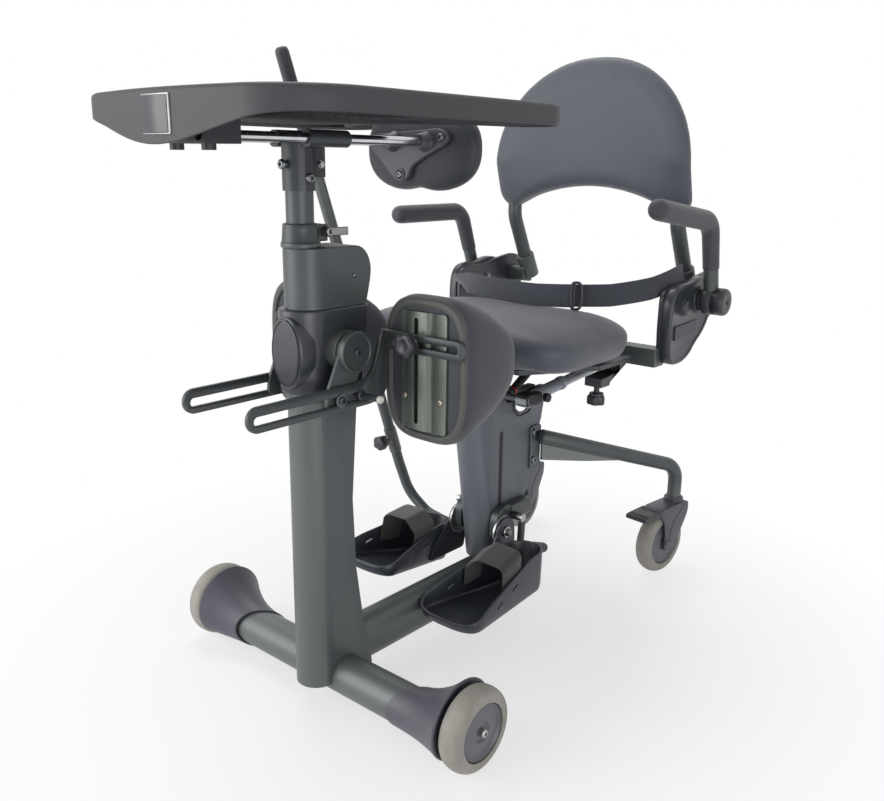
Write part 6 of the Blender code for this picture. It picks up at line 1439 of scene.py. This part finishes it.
def foot(side, s):
    y, z = ANKLE
    home, bracket = f"foot_{side} black_plastic", f"foot_bracket_{side}"
    shell = foot_shell(side, s)
    ear = arc(ANKLE, 0.0245, 0.0, pi, 32)
    ear += rounded_loop([(0.3205, 0.150), (0.294, 0.118), (0.283, 0.084), (0.372, 0.104), (0.3695, 0.150)],
                        0.008)[9:-9]
    pieces = [shell, slab(f"foot_ear_{side}", ear, "x", s * 0.0486, s * 0.0526, lit_foot_plastic, home),
              block(f"heel_clip_{side}", (s * 0.0980, s * 0.1080), (0.3650, 0.3715), (0.0870, 0.1180), zinc,
                    home, 0.0012),
              block(f"foot_web_{side}", (s * 0.0500, s * 0.0640), (0.317, 0.347), (0.106, 0.118),
                    lit_foot_plastic, home, 0.002), instep_strap(side, s)]
    pivot, lean = place(0, *ANKLE), {"left": radians(-13), "right": 0.0}[side]
    tip = Matrix.Translation(pivot) @ Matrix.Rotation(lean, 4, "X") @ Matrix.Translation(-pivot)
    for piece in pieces:
        piece.data.transform(tip)

    body = rounded_loop([(y - 0.020, z - 0.012), (y + 0.008, z - 0.019), (y + 0.028, z - 0.010),
                         (y + 0.031, z + 0.036), (y + 0.010, z + 0.044), (y - 0.016, z + 0.032)], 0.016, 10)
    slab(f"ankle_body_{side}", body, "x", s * 0.0303, s * 0.0450, black_coat,
         f"{bracket} black_paint", 0.0018, bracket)
    block(f"ankle_clamp_{side}", (s * 0.0303, s * 0.0500), (y + 0.022, y + 0.079), (z + 0.012, z + 0.040),
          black_coat, f"{bracket} black_paint", 0.005)
    grip = [(0.0064, 0.0430), (0.0066, 0.0440), (0.0066, 0.0605), (0.0001, 0.0606)]
    fit(f"ankle_grip_{side}", turned(grip, "x", (y + 0.024, z + 0.022), 32, s=s), knob_plastic,
        f"{bracket} black_plastic")
    if side == "right":
        route = [place(0.044, *p) for p in ((y + 0.058, z + 0.020), (y + 0.054, z - 0.046),
                                            (y + 0.126, z - 0.073))]
        fit("ankle_handle", tube(rounded_path(route, 0.016), 0.0063, 28), black_coat,
            f"{bracket} black_paint", 60.0)
    slab(f"ankle_disc_{side}", arc(ANKLE, 0.0275, 0.0, 2 * pi, 48)[:-1], "x", s * 0.0445, s * 0.0483, zinc,
         f"{bracket} black_paint", 0.0008)
    bm = turned([(0.0090, 0.0527), (0.0095, 0.0533), (0.0095, 0.0556), (0.0088, 0.0562)], "x", ANKLE, 40, s=s)
    turned([(0.0068, 0.0600), (0.0072, 0.0606), (0.0072, 0.0690), (0.0064, 0.0700)], "x", (0.369, 0.182), 32,
           bm, s=s)
    fit(f"ankle_fittings_{side}", bm, zinc, f"{bracket} black_paint", 35.0)
    if side == "right":
        start, end = place(0.044, 0.4370, 0.0998), place(0.044, 0.4750, 0.0855)
        sleeve = [(0.0, 0.0060), (0.0, 0.0082), (0.0012, 0.0090)]
        sleeve += [(first + 0.0062 * k, r) for k in range(5)
                   for first, r in ((0.004, 0.0092), (0.0055, 0.0084), (0.0070, 0.0092))]
        sleeve += [(0.0350, 0.0092), (0.0385, 0.0084), (0.0400, 0.0068), (0.0405, 0.0040)]
        fit("handle_sleeve", staff(start, (end - start).normalized(), sleeve), knob_plastic,
            f"{bracket} black_plastic", 45.0)
    fasteners(f"ankle_bolt_{side}", f"{bracket} black_paint", "hex", blackened,
              [(s * 0.0562, *ANKLE, (s, 0, 0), 0.0068)])


for side, s in SIDES:
    foot(side, s)
for head in heads.values():
    bpy.data.objects.remove(head)


# The studio: a white sweep, three soft lamps and an even sky. The camera stands where the photo was taken.
# Floor and sky show white to the camera, in reflections and through glass; the floor keeps its shadow.
def seen_plainly(tree):
    """1 where a ray shows the background itself."""
    ray = add(tree, "ShaderNodeLightPath").outputs
    seen = add(tree, "ShaderNodeMath", {0: ray["Is Camera Ray"], 1: ray["Is Glossy Ray"]},
               operation="MAXIMUM")
    return add(tree, "ShaderNodeMath", {0: seen.outputs[0], 1: ray["Is Transmission Ray"]},
               operation="MAXIMUM").outputs[0]


def studio():
    scene = bpy.context.scene
    scene.view_settings.view_transform = "Standard"

    world = scene.world = bpy.data.worlds.new("studio")
    world.use_nodes = True
    tree = world.node_tree
    level = add(tree, "ShaderNodeMapRange", {"Value": seen_plainly(tree), "To Min": 0.36, "To Max": 1.0})
    feed(tree, tree.nodes["Background"], {"Color": (1, 1, 1, 1), "Strength": level.outputs[0]})

    bm = bmesh.new()
    bmesh.ops.create_grid(bm, x_segments=1, y_segments=1, size=6.0)
    paper, tree, where = blank("white paper")
    shader = feed(tree, tree.nodes["Principled BSDF"], {"Base Color": linear("f4f4f6"), "Roughness": 0.6})
    glow = add(tree, "ShaderNodeEmission", {"Color": (1, 1, 1, 1), "Strength": 1.0})
    away = add(tree, "ShaderNodeVectorMath", {0: where}, operation="LENGTH").outputs["Value"]
    far = add(tree, "ShaderNodeMapRange", {"Value": away, "From Min": 0.3, "From Max": 0.85, "To Min": 0.64,
                                          "To Max": 1.0}).outputs[0]
    share = add(tree, "ShaderNodeMath", {0: seen_plainly(tree), 1: far}, operation="MULTIPLY").outputs[0]
    mix = add(tree, "ShaderNodeMixShader", {0: share, 1: shader.outputs[0], 2: glow.outputs[0]})
    feed(tree, tree.nodes["Material Output"], {"Surface": mix.outputs[0]})
    solid("ground", bm, paper)

    for name, at, aim, size, power in (("key", (-1.5, -2.6, 1.2), (0, 0, 0.4), 2.4, 62),
                                       ("fill", (2.4, -1.2, 0.35), (0, 0, 0.35), 1.3, 21),
                                       ("top", (-1.2, 0.6, 3.0), (0, 0.1, 0.5), 1.6, 28)):
        lamp = bpy.data.lights.new(name, "AREA")
        lamp.size, lamp.energy = size, power
        holder = bpy.data.objects.new(name, lamp)
        holder.location = at
        holder.rotation_euler = (Vector(aim) - Vector(at)).to_track_quat("-Z", "Y").to_euler()
        scene.collection.objects.link(holder)

    lens = bpy.data.cameras.new("camera")
    lens.sensor_width, lens.lens = 36, 36.649
    pan, pitch, roll = 0.7081963, 0.2611787, 0.0119808
    aim = Matrix.Rotation(pan, 3, "Z") @ Matrix.Rotation(pi / 2 - pitch, 3, "X")
    aim = aim @ Matrix.Rotation(roll, 3, "Z")
    camera = scene.camera = bpy.data.objects.new("camera", lens)
    camera.matrix_world = Matrix.Translation(place(0.8760, -0.7847, 0.7576)) @ aim.to_4x4()
    scene.collection.objects.link(camera)


studio()
